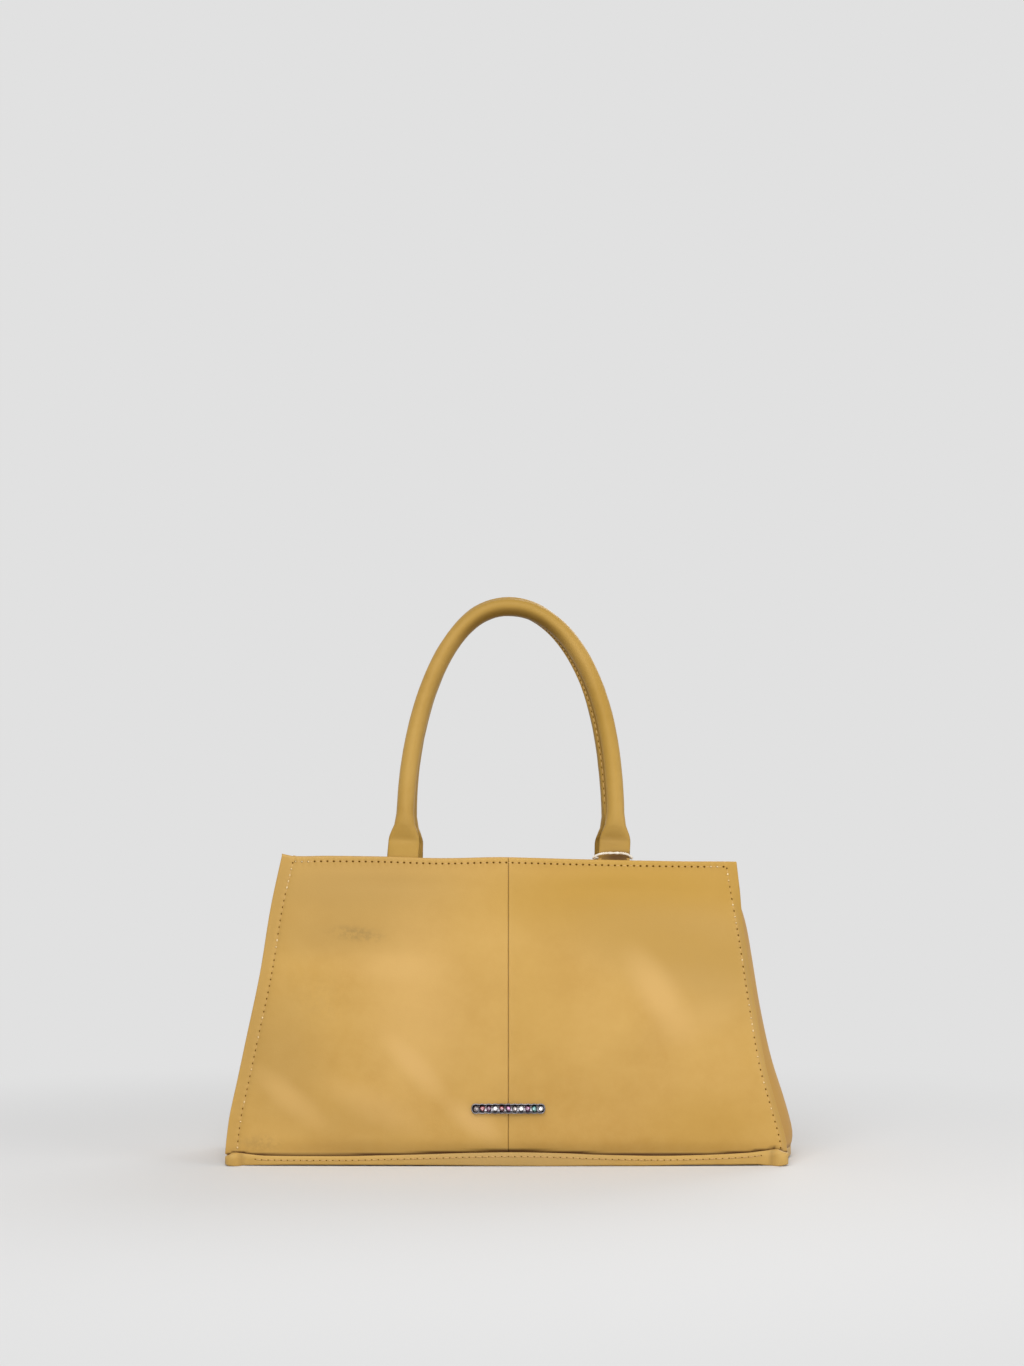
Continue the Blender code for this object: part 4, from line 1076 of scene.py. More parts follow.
for face, word in ((-1, "front"), (1, "rear")):
    way = Vector((0, face, 0))
    for hand, side_word in ((-1, "left"), (1, "right")):
        spots = []
        place_of = (lambda reach, height: panel_point(face, hand, reach, height, 0.0))
        for up in even_places(side_row_foot, wall_slope - row_drop - 0.0006):
            sewn = eased(seam_lines[hand], up * math.cos(wall_lean))
            spots.append(outward_spot(surface_spot(place_of, sewn, up), way))
        stitch_row(f"{word}_{side_word}_side_stitches", "bag", spots, camel_thread, hole_size=0.00060,
                   bead=0.56, radius=0.00024, loose=(0.24, (0, 4 if hand < 0 else 2), cream_thread),
                   seed=hand + 3 * face)
    spots = []
    row_up = wall_slope - row_drop
    for across in even_places(-eased(seam_lines[-1], row_up) + 0.0012, eased(seam_lines[1], row_up) - 0.0008):
        hand = -1 if across < 0 else 1
        place_of = (lambda reach, height: panel_point(face, hand, max(abs(reach), 0.0014), height, 0.0))
        here, out = outward_spot(surface_spot(place_of, abs(across), row_up), way)
        spots.append((Vector((across, here.y, here.z)), out))
    stitch_row(f"{word}_mouth_stitches", "bag", spots, camel_thread, hole_size=0.00070, bead=0.50,
               radius=0.00028, loose=(0.0, (3, 2), cream_thread))


def tray_spot(across, face):
    """A point on the outer side of the base leather's turned up edge, and its outward way."""
    nearest = min(range(count), key=lambda number: abs(outline[number].x - across)
                  + (0 if outline[number].y * face > 0.0440 else 1))
    point, out = outline[nearest], outward[nearest]
    along = Vector((-out.y, out.x))
    spot = point + along * ((across - point.x) / along.x)
    way = Vector((out.x, out.y, 0))
    return Vector((spot.x, spot.y, tray_rim(spot) - base_row_drop)) + way * base_row_stand, way


for face, word in ((-1, "front"), (1, "rear")):
    spots = [tray_spot(base_row_start + stitch_pitch * step, face) for step in range(base_row_stitches + 1)]
    stitch_row(f"{word}_base_stitches", "bag", spots, camel_thread, hole_size=0.00034)


# The stiff band and the leather facing at the mouth. The band is bonded felt inside the turned edge,
# lower than the fold and cut away where the tabs go in. The facing is turned over and meets the fold.
under_panel = 0.0019
band_high = wall_slope - 0.0034
band_low = wall_slope - 0.0250
band_skin = 0.0012
notch_low = wall_slope - 0.0223
facing_low = wall_slope - 0.0320
facing_near = 0.0046
facing_far = 0.0058
inner_inset = 0.0078
facing_wave = 0.00022
facing_top = wall_slope - 0.0006
facing_row_rise = 0.0020
facing_edge_wear = 0.0020


def felt_finish(name, body, shade):
    """Pressed felt: short fibres lying every way, matt."""
    made, tree, shader = new_finish(name)
    place = object_place(tree)
    fibres = noise_value(tree, place, 1500.0, 4.0, 0.7)
    clumps = noise_value(tree, place, 160.0, 2.0, 0.5)
    colour = colour_mix(tree, spread(tree, clumps, 0.35, 0.65), body, shade)
    tree.links.new(colour, shader.inputs["Base Color"])
    tree.links.new(spread(tree, fibres, 0.3, 0.7, 0.85, 0.98), shader.inputs["Roughness"])
    set_normal(tree, shader, fibres, 0.00015, 0.8)
    return made


band_felt = felt_finish("stiff_band_felt", (0.70, 0.68, 0.62), (0.56, 0.53, 0.47))
facing_finish = leather_finish("facing_leather_satin", (0.560, 0.335, 0.105), (0.470, 0.262, 0.070),
                               (0.640, 0.410, 0.160), camel_crease_shade, roughness=0.52)


def inner_half_width(up):
    height = up * math.cos(wall_lean)
    return base_half_width + (top_half_width - base_half_width) * height / body_height - inner_inset


def sheet(name, stations, ups_at, width_of, place_of, near_of, far_of, upward, finish, masks=None):
    """A sheet of a wall between two depths, from its columns across and the heights of each column."""
    outer, inner, crest = [], [], []
    painted_grids = {mask: [] for mask in masks or {}}
    for station in stations:
        marks = [(station * width_of(up), up) for up in ups_at(station)]
        outer.append([place_of(across, up, near_of(across, up)) for across, up in marks])
        inner.append([place_of(across, up, far_of(across, up)) for across, up in marks])
        front, back = outer[-1][-1], inner[-1][-1]
        crest.append(rounded_crest(front, back, upward * ((front - back) / 2).length))
        for mask, grid in painted_grids.items():
            grid.append([masks[mask](across, up) for across, up in marks])
    return slab(name, outer, inner, crest, finish, painted_grids)


def wall_slab(name, face, low, high_of, near_of, far_of, finish, spacing, stations, rise=None,
              masks=None, width_of=inner_half_width):
    """A sheet that lies in the front or back wall between two depths. Rise names the heights to use."""
    tops = {station: high_of(station * width_of(low)) for station in stations}
    count = round((max(tops.values()) - low) / spacing)

    def ups_at(station):
        high = tops[station]
        return rise(low, high) if rise else [low + (high - low) * step / count for step in range(count + 1)]

    return sheet(name, stations, ups_at, width_of,
                 lambda across, up, depth: wall_point(face, across, up, depth),
                 near_of, far_of, wall_up(face), finish, masks)


def even_stations(count, extra=()):
    made = [-1 + 2 * step / count for step in range(count + 1)]
    return sorted(set(made) | set(extra))


def band_top(across):
    inside = 1 - ramp(abs(abs(across) - tab_middle), tab_half_width + 0.0002, tab_half_width + 0.0006)
    return band_high + (notch_low - band_high) * inside


notch_edges = [hand * (tab_middle + side * (tab_half_width + offset)) / inner_half_width(band_low)
               for hand in (-1, 1) for side in (-1, 1) for offset in (0.0001, 0.0007)]
for face, word in ((-1, "front"), (1, "rear")):
    band = wall_slab(f"{word}_mouth_band", face, band_low, band_top, lambda across, up: under_panel,
                     lambda across, up: under_panel + band_skin, band_felt, 0.004,
                     even_stations(40, notch_edges))
    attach(band, "bag")
    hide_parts(f"top_band_{word}")


def facing_swell(face, across, up):
    away = ramp(abs(across), 0.012, 0.030)
    return facing_wave * away * noise.noise(Vector((across * 45, face * 2.0 + 9.0, up * 30)))


def facing_back(across, up):
    turned = ramp(up, wall_slope - 0.006, wall_slope - 0.004)
    return facing_near + turned * clear_of_tab(across) * (fold_depth + 0.0002 - facing_near)


def facing_front(face):
    return lambda across, up: facing_far + facing_swell(face, across, up)


def facing_heights(low, high):
    return ([low, low + 0.0004, low + 0.0012, low + 0.0024, low + 0.0036]
            + steps_between(low + 0.0036, high - 0.0060, 0.004)
            + [high - drop for drop in (0.0060, 0.0045, 0.0036, 0.0028, 0.0020, 0.0010, 0.0)])


def facing_masks(low, top, rows):
    """Puckered beside each of its rows of stitches, and worn along both edges."""
    return {"beside_row": lambda across, up: max(math.exp(-((up - row) / 0.0016) ** 2) for row in rows),
            "run": lambda across, up: across / stitch_pitch,
            "edge": lambda across, up: max(ramp(up, top - facing_edge_wear, top),
                                           1 - ramp(up, low, low + facing_edge_wear / 2))}


facing_rows = {"lower": facing_low + facing_row_rise, "mouth": wall_slope - row_drop}
for face, word in ((-1, "front"), (1, "rear")):
    facing = wall_slab(f"{word}_facing_leather", face, facing_low, lambda across: facing_top,
                       facing_back, facing_front(face), facing_finish, 0.004, even_stations(72),
                       facing_heights, facing_masks(facing_low, facing_top, facing_rows.values()))
    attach(facing, "bag")
    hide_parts(f"facing_{word}")
    for row_word, row_up in facing_rows.items():
        reach = inner_half_width(row_up) - 0.004
        place_of = (lambda x, up: wall_point(face, x, up, facing_front(face)(x, up)))
        spots = [outward_spot(surface_spot(place_of, across, row_up), Vector((0, -face, 0)))
                 for across in even_places(-reach, reach)]
        stitch_row(f"{word}_facing_{row_word}_stitches", "bag", spots, camel_thread, hole_size=0.00045)


# The side facings and the side lining. They close the two ends of the mouth and of the inside, just
# inside the gussets, and run between the front and back pieces.
side_lean = math.atan2(base_half_width - top_half_width, body_height)
side_slope = body_height / math.cos(side_lean)
side_near = 0.0077
side_facing_skin = 0.0012
side_facing_low = side_slope - 0.0320
side_facing_top = side_slope - 0.0008
side_clearance = 0.0004
cloth = 0.0008


def side_point(hand, across, up, depth):
    out = base_half_width - depth * math.cos(side_lean) - up * math.sin(side_lean)
    height = up * math.cos(side_lean) - depth * math.sin(side_lean)
    lift = eased(top_lifts, hand * out) * ramp(height, mouth_sag_start, body_height)
    return Vector((hand * out, across, height + lift))


def side_slab(name, hand, low, high, near_of, far_of, half_of, finish, spacing, columns, masks=None):
    """A sheet that lies in the left or right wall between two depths."""
    ups = [low, low + 0.0006, low + 0.0014] + steps_between(low + 0.0014, high - 0.0016, spacing) + [
        high - 0.0016, high - 0.0008, high]
    return sheet(name, even_stations(columns), lambda station: ups, half_of,
                 lambda across, up, depth: side_point(hand, across, up, depth),
                 near_of, far_of, Vector((0, 0, 1)), finish, masks)


def side_half(up, depth):
    """Half the room between the front and back pieces, at a depth inside their walls."""
    return half_depth_at(up * math.cos(side_lean)) - depth / math.cos(wall_lean) - side_clearance


side_row_up = side_facing_low + facing_row_rise
for hand, side_word in ((-1, "left"), (1, "right")):
    facing = side_slab(f"{side_word}_facing_leather", hand, side_facing_low, side_facing_top,
                       lambda across, up: side_near, lambda across, up: side_near + side_facing_skin,
                       lambda up: side_half(up, facing_far), facing_finish, 0.004, 16,
                       facing_masks(side_facing_low, side_facing_top, [side_row_up]))
    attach(facing, "bag")
    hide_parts(f"facing_{side_word}")
    reach = side_half(side_facing_low, facing_far) - 0.003
    place_of = (lambda y, up: side_point(hand, y, up, side_near + side_facing_skin))
    spots = [outward_spot(surface_spot(place_of, across, side_row_up), Vector((-hand, 0, 0)))
             for across in even_places(-reach, reach)]
    stitch_row(f"{side_word}_facing_lower_stitches", "bag", spots, camel_thread, hole_size=0.00045)


# The lining. Five panels of brown cotton twill hang a little loose inside the leather, with a slip
# pocket sewn on the front one and the window of the zip pocket in the back one.
lining_near = 0.0035
lining_foot = 0.0053
lining_top = wall_slope - 0.0255
zip_up = 0.11197
zip_half_length = 0.065
window_half_height = 0.0055
window_reach = zip_half_length + 0.0035
lining_sag = 0.0016

# Twill: two sets of fine threads, one over the other in slanting steps.
weave_group, entry, way_out = shader_group(
    "cotton twill", (("Threads per metre", 2200.0),), ("Height", "Thread"))
place = object_place(weave_group)
split = add_node(weave_group, "ShaderNodeSeparateXYZ", {0: place})
run = maths(weave_group, "ADD", split.outputs[0], split.outputs[1])
rise = maths(weave_group, "ADD", split.outputs[2], maths(weave_group, "MULTIPLY", split.outputs[1], 0.7))
turned = maths(weave_group, "MULTIPLY", run, entry.outputs[0])
warp = maths(weave_group, "SINE", maths(weave_group, "MULTIPLY", turned, math.tau))
slanting = maths(weave_group, "MULTIPLY", maths(weave_group, "ADD", run, rise), entry.outputs[0])
twill = maths(weave_group, "SINE", maths(weave_group, "MULTIPLY", slanting, math.pi))
both = maths(weave_group, "ADD", maths(weave_group, "ADD", warp, twill), 2.0)
thread = maths(weave_group, "MULTIPLY", both, 0.25)
slub = noise_value(weave_group, place, 420.0, 3.0, 0.6)
weave_group.links.new(maths(weave_group, "MULTIPLY", thread, spread(weave_group, slub, 0.2, 0.8, 0.6, 1.0)),
                      way_out.inputs["Height"])
weave_group.links.new(thread, way_out.inputs["Thread"])


def cloth_finish(name, body, shade, threads, roughness=0.85):
    """Woven cotton: thread by thread light and dark, with slow uneven dye."""
    made, tree, shader = new_finish(name)
    weave = place_group(tree, weave_group, {"Threads per metre": threads})
    dye = noise_value(tree, object_place(tree), 35.0, 2.0, 0.5)
    colour = colour_mix(tree, maths(tree, "MULTIPLY", weave.outputs["Thread"], 0.7), shade, body)
    colour = colour_mix(tree, maths(tree, "MULTIPLY", spread(tree, dye, 0.35, 0.65), 0.25), colour, shade)
    colour = colour_mix(tree, painted(tree, "crease_shade"), colour, shade)
    tree.links.new(colour, shader.inputs["Base Color"])
    tree.links.new(spread(tree, weave.outputs["Thread"], 0.0, 1.0, roughness + 0.08, roughness - 0.05),
                   shader.inputs["Roughness"])
    set_normal(tree, shader, weave.outputs["Height"], 0.00012, 0.8)
    return made


lining_finish = cloth_finish("lining_twill", (0.42, 0.30, 0.18), (0.27, 0.18, 0.10), 2200.0)


def lining_loose(face, across, up):
    """How far the lining hangs into the bag. It is held flat at its edges and round the zip."""
    low, high, easing = 0.006, wall_slope - 0.026, 0.016
    held = ramp(up, low, low + easing) * (1 - ramp(up, high - easing, high))
    held *= 1 - ramp(abs(across) / inner_half_width(up), 0.80, 1.0)
    if face == 1:
        held *= max(ramp(abs(up - zip_up), 0.014, 0.030), ramp(abs(across), 0.076, 0.090))
    wave = 0.6 + 0.5 * noise.noise(Vector((across * 28, face * 4.0, up * 14)))
    fine = 0.16 * noise.noise(Vector((across * 90, face * 4.0 + 2, up * 40)))
    return lining_sag * held * (wave + fine)


def lining_depth(face, skin):
    return lambda across, up: lining_near + skin + lining_loose(face, across, up)


def lining_heights(low, high):
    sill, head = zip_up - window_half_height, zip_up + window_half_height
    return ([low, low + 0.0005, low + 0.0015] + steps_between(low + 0.0015, sill, 0.0042)
            + [sill, head] + steps_between(head, high, 0.0040) + [high])


def cut_window(piece):
    """Takes the zip's window out of the rear lining: the faces inside it go, and its edge is closed."""
    mesh = bmesh.new()
    mesh.from_mesh(piece.data)
    gone = []
    for part in mesh.faces:
        middle = part.calc_center_median()
        above = abs(middle.z / math.cos(wall_lean) - zip_up)
        if abs(middle.x) < window_reach and above < window_half_height - 0.0008:
            gone.append(part)
    bmesh.ops.delete(mesh, geom=gone, context="FACES")
    bmesh.ops.bridge_loops(mesh, edges=[edge for edge in mesh.edges if edge.is_boundary])
    bmesh.ops.recalc_face_normals(mesh, faces=mesh.faces)
    mesh.to_mesh(piece.data)
    mesh.free()


for face, word in ((-1, "front"), (1, "rear")):
    window_edges = ()
    if face == 1:
        window_edges = [hand * window_reach / inner_half_width(zip_up) for hand in (-1, 1)]
    lining = wall_slab(f"{word}_lining_cloth", face, lining_foot, lambda across: lining_top,
                       lining_depth(face, 0.0), lining_depth(face, cloth),
                       lining_finish, 0.004, even_stations(64, window_edges), lining_heights)
    if face == 1:
        cut_window(lining)
    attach(lining, "bag")
    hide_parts(f"lining_{word}")

for hand, side_word in ((-1, "left"), (1, "right")):
    def side_loose(across, up):
        half = side_half(up, lining_near + cloth)
        held = ramp(up, 0.007, 0.025) * (1 - ramp(up, 0.115, 0.130)) * (1 - (across / half) ** 2)
        return lining_sag * held * (0.7 + 0.5 * noise.noise(Vector((hand * 3.0, across * 40, up * 16))))

    lining = side_slab(f"{side_word}_lining_cloth", hand, 0.0064, side_slope - 0.0324,
                       lambda across, up: side_near + side_loose(across, up),
                       lambda across, up: side_near + cloth + side_loose(across, up),
                       lambda up: side_half(up, lining_near + cloth + 0.0002), lining_finish, 0.005, 18)
    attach(lining, "bag")
    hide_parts(f"lining_{side_word}")

floor_half_width = 0.1426
floor_half_depth = 0.0410
floor_up = 0.0042
floor_columns = 48
floor_rows = 18
outer, inner = [], []
for column in range(floor_columns + 1):
    across = -floor_half_width + 2 * floor_half_width * column / floor_columns
    depths = [-floor_half_depth + 2 * floor_half_depth * row / floor_rows for row in range(floor_rows + 1)]
    inner.append([Vector((across, depth, floor_up)) for depth in depths])
    outer.append([])
    for depth in depths:
        held = (1 - (across / floor_half_width) ** 6) * (1 - (depth / floor_half_depth) ** 4)
        rise = 0.0006 * held * (1 + noise.noise(Vector((across * 30, depth * 40, 1.0))))
        outer[-1].append(Vector((across, depth, floor_up + cloth + rise)))
floor_lining = slab("floor_lining_cloth", outer, inner, [[]] * len(outer), lining_finish)
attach(floor_lining, "bag")
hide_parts("lining_base")

pocket_half = 0.060
pocket_low = lining_foot + 0.0330
pocket_high = wall_slope - 0.0550
pocket_margin = 0.0015
pocket_pitch = 0.0028


def pocket_bow(across, up):
    share = (up - pocket_low) / (pocket_high - pocket_low)
    side = 1 - (across / pocket_half) ** 4
    return 0.0003 + lining_loose(-1, across, up) + 0.0016 * max(side, 0) * share ** 1.5


def pocket_front(across, up):
    hem = 0.0007 * ramp(up, pocket_high - 0.0100, pocket_high - 0.0090)
    return lining_near + 2 * cloth + pocket_bow(across, up) + hem


pocket = wall_slab("slip_pocket_cloth", -1, pocket_low, lambda across: pocket_high,
                   lambda across, up: lining_near + cloth + pocket_bow(across, up), pocket_front,
                   lining_finish, 0.004, even_stations(36), width_of=lambda up: pocket_half)
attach(pocket, "bag")
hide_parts("slip_pocket")

lining_thread = thread_finish("lining_thread", (0.36, 0.25, 0.15), (0.24, 0.16, 0.09))


def lining_row(name, spots):
    stitch_row(name, "bag", spots, lining_thread, hole_size=0.00036, radius=0.00022)


def pocket_spot(across, up):
    place_of = (lambda x, up: wall_point(-1, x, up, pocket_front(x, up)))
    return outward_spot(surface_spot(place_of, across, up), Vector((0, 1, 0)))


side_run = pocket_half - pocket_margin
across_steps = int(2 * side_run / pocket_pitch)
up_steps = int((pocket_high - pocket_low - 2 * pocket_margin) / pocket_pitch)
for word, row_up in (("hem", pocket_high - 0.0082), ("foot", pocket_low + pocket_margin)):
    lining_row(f"slip_pocket_{word}_stitches", [
        pocket_spot(-side_run + pocket_pitch * step, row_up) for step in range(across_steps + 1)])
for hand, side_word in ((-1, "left"), (1, "right")):
    lining_row(f"slip_pocket_{side_word}_stitches", [
        pocket_spot(hand * side_run, pocket_low + pocket_margin + pocket_pitch * step)
        for step in range(up_steps + 1)])


# The zip pocket. Its bag of lining cloth hangs unseen behind the back lining. The tapes carry a chain
# of metal teeth, with a stop at each end and a slider and pull that run along it.
def metal_finish(name, body, shade, roughness, grain_size=900.0):
    """Plated metal with fine brush marks and slow tarnish."""
    made, tree, shader = new_finish(name)
    place = object_place(tree)
    stretched = add_node(tree, "ShaderNodeMapping", {"Vector": place, "Scale": (1.0, 1.0, 0.12)}).outputs[0]
    marks = noise_value(tree, stretched, grain_size, 3.0, 0.65)
    tarnish = noise_value(tree, place, 130.0, 3.0, 0.6)
    tree.links.new(colour_mix(tree, spread(tree, tarnish, 0.38, 0.68), body, shade),
                   shader.inputs["Base Color"])
    tree.links.new(spread(tree, tarnish, 0.3, 0.7, roughness - 0.06, roughness + 0.12),
                   shader.inputs["Roughness"])
    shader.inputs["Metallic"].default_value = 1.0
    set_normal(tree, shader, marks, 0.00003, 0.6)
    return made


zip_metal_finish = metal_finish("zip_metal_dark", (0.42, 0.39, 0.35), (0.26, 0.23, 0.20), 0.30)
zip_cloth_finish = cloth_finish("zip_tape_cloth", (0.50, 0.34, 0.14), (0.33, 0.21, 0.08), 1400.0)
nickel_finish = metal_finish("snap_nickel", (0.66, 0.64, 0.61), (0.48, 0.46, 0.43), 0.24)
teeth_pitch = 0.0015
teeth_count = 86
chain_near = 0.0026
chain_thickness = 0.0020
tape_thickness = 0.0006
tape_near = lining_near - 0.0003 - tape_thickness
tape_half_length = 0.071
tape_start = 0.00255
tape_width = 0.0110
block_corners = ((-1, -0.55), (-0.55, -1), (0.55, -1), (1, -0.55),
                 (1, 0.55), (0.55, 1), (-0.55, 1), (-1, 0.55))


def add_block(mesh, x, up, depth, half_x, half_up, half_depth, shrink=0.7):
    """A small cushion shaped block in the back wall: full at its middle depth and smaller at both faces."""
    join_rings(mesh, [[mesh.verts.new(flat_wall(x + half_x * corner_x * size, up + half_up * corner_up * size,
                                                depth + half_depth * level))
                       for corner_x, corner_up in block_corners]
                      for level, size in ((-1, shrink), (-0.45, 1.0), (0.45, 1.0), (1, shrink))])


def flat_wall(x, up, depth):
    """The back wall without the sag of the mouth, so that the slider runs true."""
    out = base_half_depth - depth * math.cos(wall_lean) - up * math.sin(wall_lean)
    return Vector((x, out, up * math.cos(wall_lean) - depth * math.sin(wall_lean)))


mesh = bmesh.new()
chain_middle = chain_near + chain_thickness / 2
for tooth in range(teeth_count):
    x = -teeth_pitch * (teeth_count - 1) / 2 + teeth_pitch * tooth
    way = 1 if tooth % 2 else -1
    # Each tooth has a shank on its tape and a head that fills the gap between two teeth of the other.
    for shift, half_x, half_up, inset in ((0.00095, 0.00052, 0.00125, 0.0001),
                                          (-0.00035, 0.00062, 0.00055, 0.0004)):
        add_block(mesh, x, zip_up + way * shift, chain_middle, half_x, half_up, chain_thickness / 2 - inset)
teeth = build_piece("zip_chain", mesh, zip_metal_finish)
teeth.data.shade_flat()
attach(teeth, "bag")
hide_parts("zip_teeth")

for way, word in ((1, "upper"), (-1, "lower")):
    outer, inner = [], []
    for column in range(61):
        x = -tape_half_length + 2 * tape_half_length * column / 60
        near_row, far_row = [], []
        for share in (0.0, 0.06, 0.14, 0.3, 0.5, 0.75, 1.0):
            up = zip_up + way * (tape_start + tape_width * share)
            cord = 0.0002 * math.exp(-((share - 0.06) / 0.06) ** 2)
            near_row.append(flat_wall(x, up, tape_near))
            far_row.append(flat_wall(x, up, tape_near + tape_thickness + cord))
        outer.append(near_row)
        inner.append(far_row)
    tape = slab(f"zip_{word}_tape", outer, inner, [[]] * len(outer), zip_cloth_finish)
    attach(tape, "bag")
    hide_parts(f"zip_tape_{word}")


def zip_frame_row(name, marks):
    lining_row(name, [(flat_wall(x, up, lining_near + cloth), Vector((0, -1, 0))) for x, up in marks])


frame_reach = window_reach + 0.0018
frame_rise = window_half_height + 0.0018
long_steps = int(2 * frame_reach / pocket_pitch)
short_steps = int(2 * frame_rise / pocket_pitch)
for way, word in ((1, "upper"), (-1, "lower")):
    zip_frame_row(f"zip_{word}_stitches", [(-frame_reach + pocket_pitch * step, zip_up + way * frame_rise)
                                           for step in range(long_steps + 1)])
for hand, word in ((-1, "left"), (1, "right")):
    zip_frame_row(f"zip_{word}_stitches", [(hand * frame_reach, zip_up - frame_rise + pocket_pitch * step)
                                           for step in range(short_steps + 1)])


# The bar of stones. A dark plated tray with a raised rim and bent prongs is pressed through the front
# by two flat legs, and holds eleven small cut glass stones: plum, smoke, clear, garnet and teal.
bar_half_length = 0.0200
bar_half_height = 0.00275
bar_up = 0.0306
bar_lift = 0.0001
bar_straight = 0.93
scallop_points = 88
stone_pitch = 0.0035
stone_radius = 0.0014
claw_radius = 0.00032
claw_height = 0.0011
leg_spread = 0.0130
leg_ends = (0.0006, -0.0058)
gunmetal_finish = metal_finish("bar_gunmetal", (0.30, 0.29, 0.31), (0.13, 0.12, 0.13), 0.24, 1500.0)


def bar_stand(x):
    """How far the panel stands out under the bar, which is bowed a little to follow it."""
    hand = -1 if x < 0 else 1
    return swell(-1, hand, max(abs(x), 0.0090), bar_up)


def bar_point(x, up, out):
    return wall_point(-1, x, bar_up + up, -(out + bar_stand(0.0) + bar_lift))


def bar_outline(grow):
    """The tray's outline: a long bar with gently scalloped edges, one scallop for each stone."""
    half_length = bar_half_length + grow
    half_height = bar_half_height + grow
    straight = half_length * bar_straight
    top = []
    for step in range(scallop_points + 1):
        x = -straight + 2 * straight * step / scallop_points
        top.append((x, half_height * (0.90 + 0.10 * abs(math.cos(math.pi * x / stone_pitch)))))
    for step in range(1, 8):
        angle = math.pi / 2 - math.pi * step / 8
        top.append((straight + half_length * (1 - bar_straight) * math.cos(angle),
                    half_height * 0.92 * math.sin(angle)))
    return top + [(-x, -y) for x, y in top]


loops = []
for grow, out in ((-0.0004, 0.0), (0.0, 0.0002), (0.00005, 0.0008), (0.0, 0.00135), (-0.00018, 0.0016),
                  (-0.00040, 0.0016), (-0.00055, 0.0014), (-0.00060, 0.0009)):
    loops.append([bar_point(x, up, out) for x, up in bar_outline(grow)])
setting = lofted("stone_bar_tray", loops, gunmetal_finish)
mesh = bmesh.new()
mesh.from_mesh(setting.data)


def add_claw(mesh, x, up, out, size):
    """A bead of metal bent over the edge of a stone."""
    join_rings(mesh, [ring_points(mesh, 8, lambda cosine, sine: bar_point(
        x + size * width * cosine, up + size * width * sine, out + claw_height * level))
        for level, width in ((0.0, 1.0), (0.5, 1.0), (0.85, 0.75), (1.0, 0.35))])


for number in range(12):
    for way in (-1, 1):
        add_claw(mesh, stone_pitch * (number - 5.5), way * 0.00135, 0.0009, claw_radius)
# The two legs pass through the panel to the backing plate.
for hand in (-1, 1):
    join_rings(mesh, [[mesh.verts.new(bar_point(hand * leg_spread + 0.0010 * a, 0.0004 * b, out))
                       for a, b in ((-1, -1), (1, -1), (1, 1), (-1, 1))]
                      for out in (leg_ends[0], leg_ends[1] - bar_stand(0.0))])
bmesh.ops.recalc_face_normals(mesh, faces=mesh.faces)
mesh.to_mesh(setting.data)
mesh.free()
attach(setting, "bag")
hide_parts("plaque_setting")


def stone_finish(name, body, deep, painted_glint):
    """Cut glass over dark foil: glossy, with flecks of painted glint in a paler colour that change from facet
    to facet.
    """
    made, tree, shader = new_finish(name)
    place = object_place(tree)
    flecks = add_node(tree, "ShaderNodeTexVoronoi", {"Vector": place, "Scale": 1100.0})
    fleck = add_node(tree, "ShaderNodeSeparateColor", {0: flecks.outputs["Color"]}).outputs[0]
    glint_flecks = spread(tree, fleck, 0.55, 0.9)
    depth = noise_value(tree, place, 900.0, 1.0, 0.5)
    colour = colour_mix(tree, spread(tree, depth, 0.35, 0.65), body, deep)
    tree.links.new(colour_mix(tree, glint_flecks, colour, painted_glint), shader.inputs["Base Color"])
    tree.links.new(spread(tree, depth, 0.3, 0.7, 0.03, 0.12), shader.inputs["Roughness"])
    shader.inputs["Coat Weight"].default_value = 1.0
    shader.inputs["Coat Roughness"].default_value = 0.03
    shader.inputs["Metallic"].default_value = 0.35
    set_normal(tree, shader, depth, 0.00006, 0.5)
    return made


# Each stone: its colour, its deepest colour and the paler colour of its painted glints.
stone_kinds = {
    "plum": stone_finish("plum_stone", (0.140, 0.025, 0.090), (0.030, 0.006, 0.024), (0.520, 0.200, 0.420)),
    "smoke": stone_finish("smoke_stone", (0.085, 0.060, 0.060), (0.020, 0.014, 0.016), (0.560, 0.480, 0.460)),
    "clear": stone_finish("clear_stone", (0.520, 0.520, 0.560), (0.180, 0.170, 0.200), (0.950, 0.950, 0.980)),
    "garnet": stone_finish("garnet_stone", (0.180, 0.018, 0.030), (0.040, 0.005, 0.012),
                           (0.700, 0.240, 0.260)),
    "teal": stone_finish("teal_stone", (0.040, 0.200, 0.190), (0.010, 0.050, 0.070), (0.400, 0.850, 0.700))}
stone_order = ("smoke", "garnet", "plum", "clear", "garnet", "plum", "smoke", "clear", "plum", "teal",
               "clear")


def cut_stone(name, x, finish, turn):
    """An eight sided stone: a flat table, a ring of kites and triangles, and a girdle in its cup."""
    mesh = bmesh.new()

    def level(corners, radius, out, shift=0.0):
        angles = [turn + math.tau * (k + shift) / corners for k in range(corners)]
        return [mesh.verts.new(bar_point(x + radius * math.cos(angle), radius * math.sin(angle), out))
                for angle in angles]

    table = level(8, 0.00078, 0.00195)
    star = level(8, 0.00112, 0.00168, 0.5)
    girdle = level(16, stone_radius, 0.00130)
    foot = level(16, 0.0008, 0.00092)
    mesh.faces.new(table)
    for k in range(8):
        after = (k + 1) % 8
        here, middle, beyond = girdle[2 * k], girdle[2 * k + 1], girdle[2 * after]
        for corners in ((table[k], table[after], star[k]), (table[k], star[k], here), (star[k], middle, here),
                        (star[k], beyond, middle), (star[k], table[after], beyond)):
            mesh.faces.new(corners)
    join_rings(mesh, [girdle, foot], capped=False)
    mesh.faces.new(foot)
    stone = build_piece(name, mesh, finish)
    stone.data.shade_flat()
    return stone


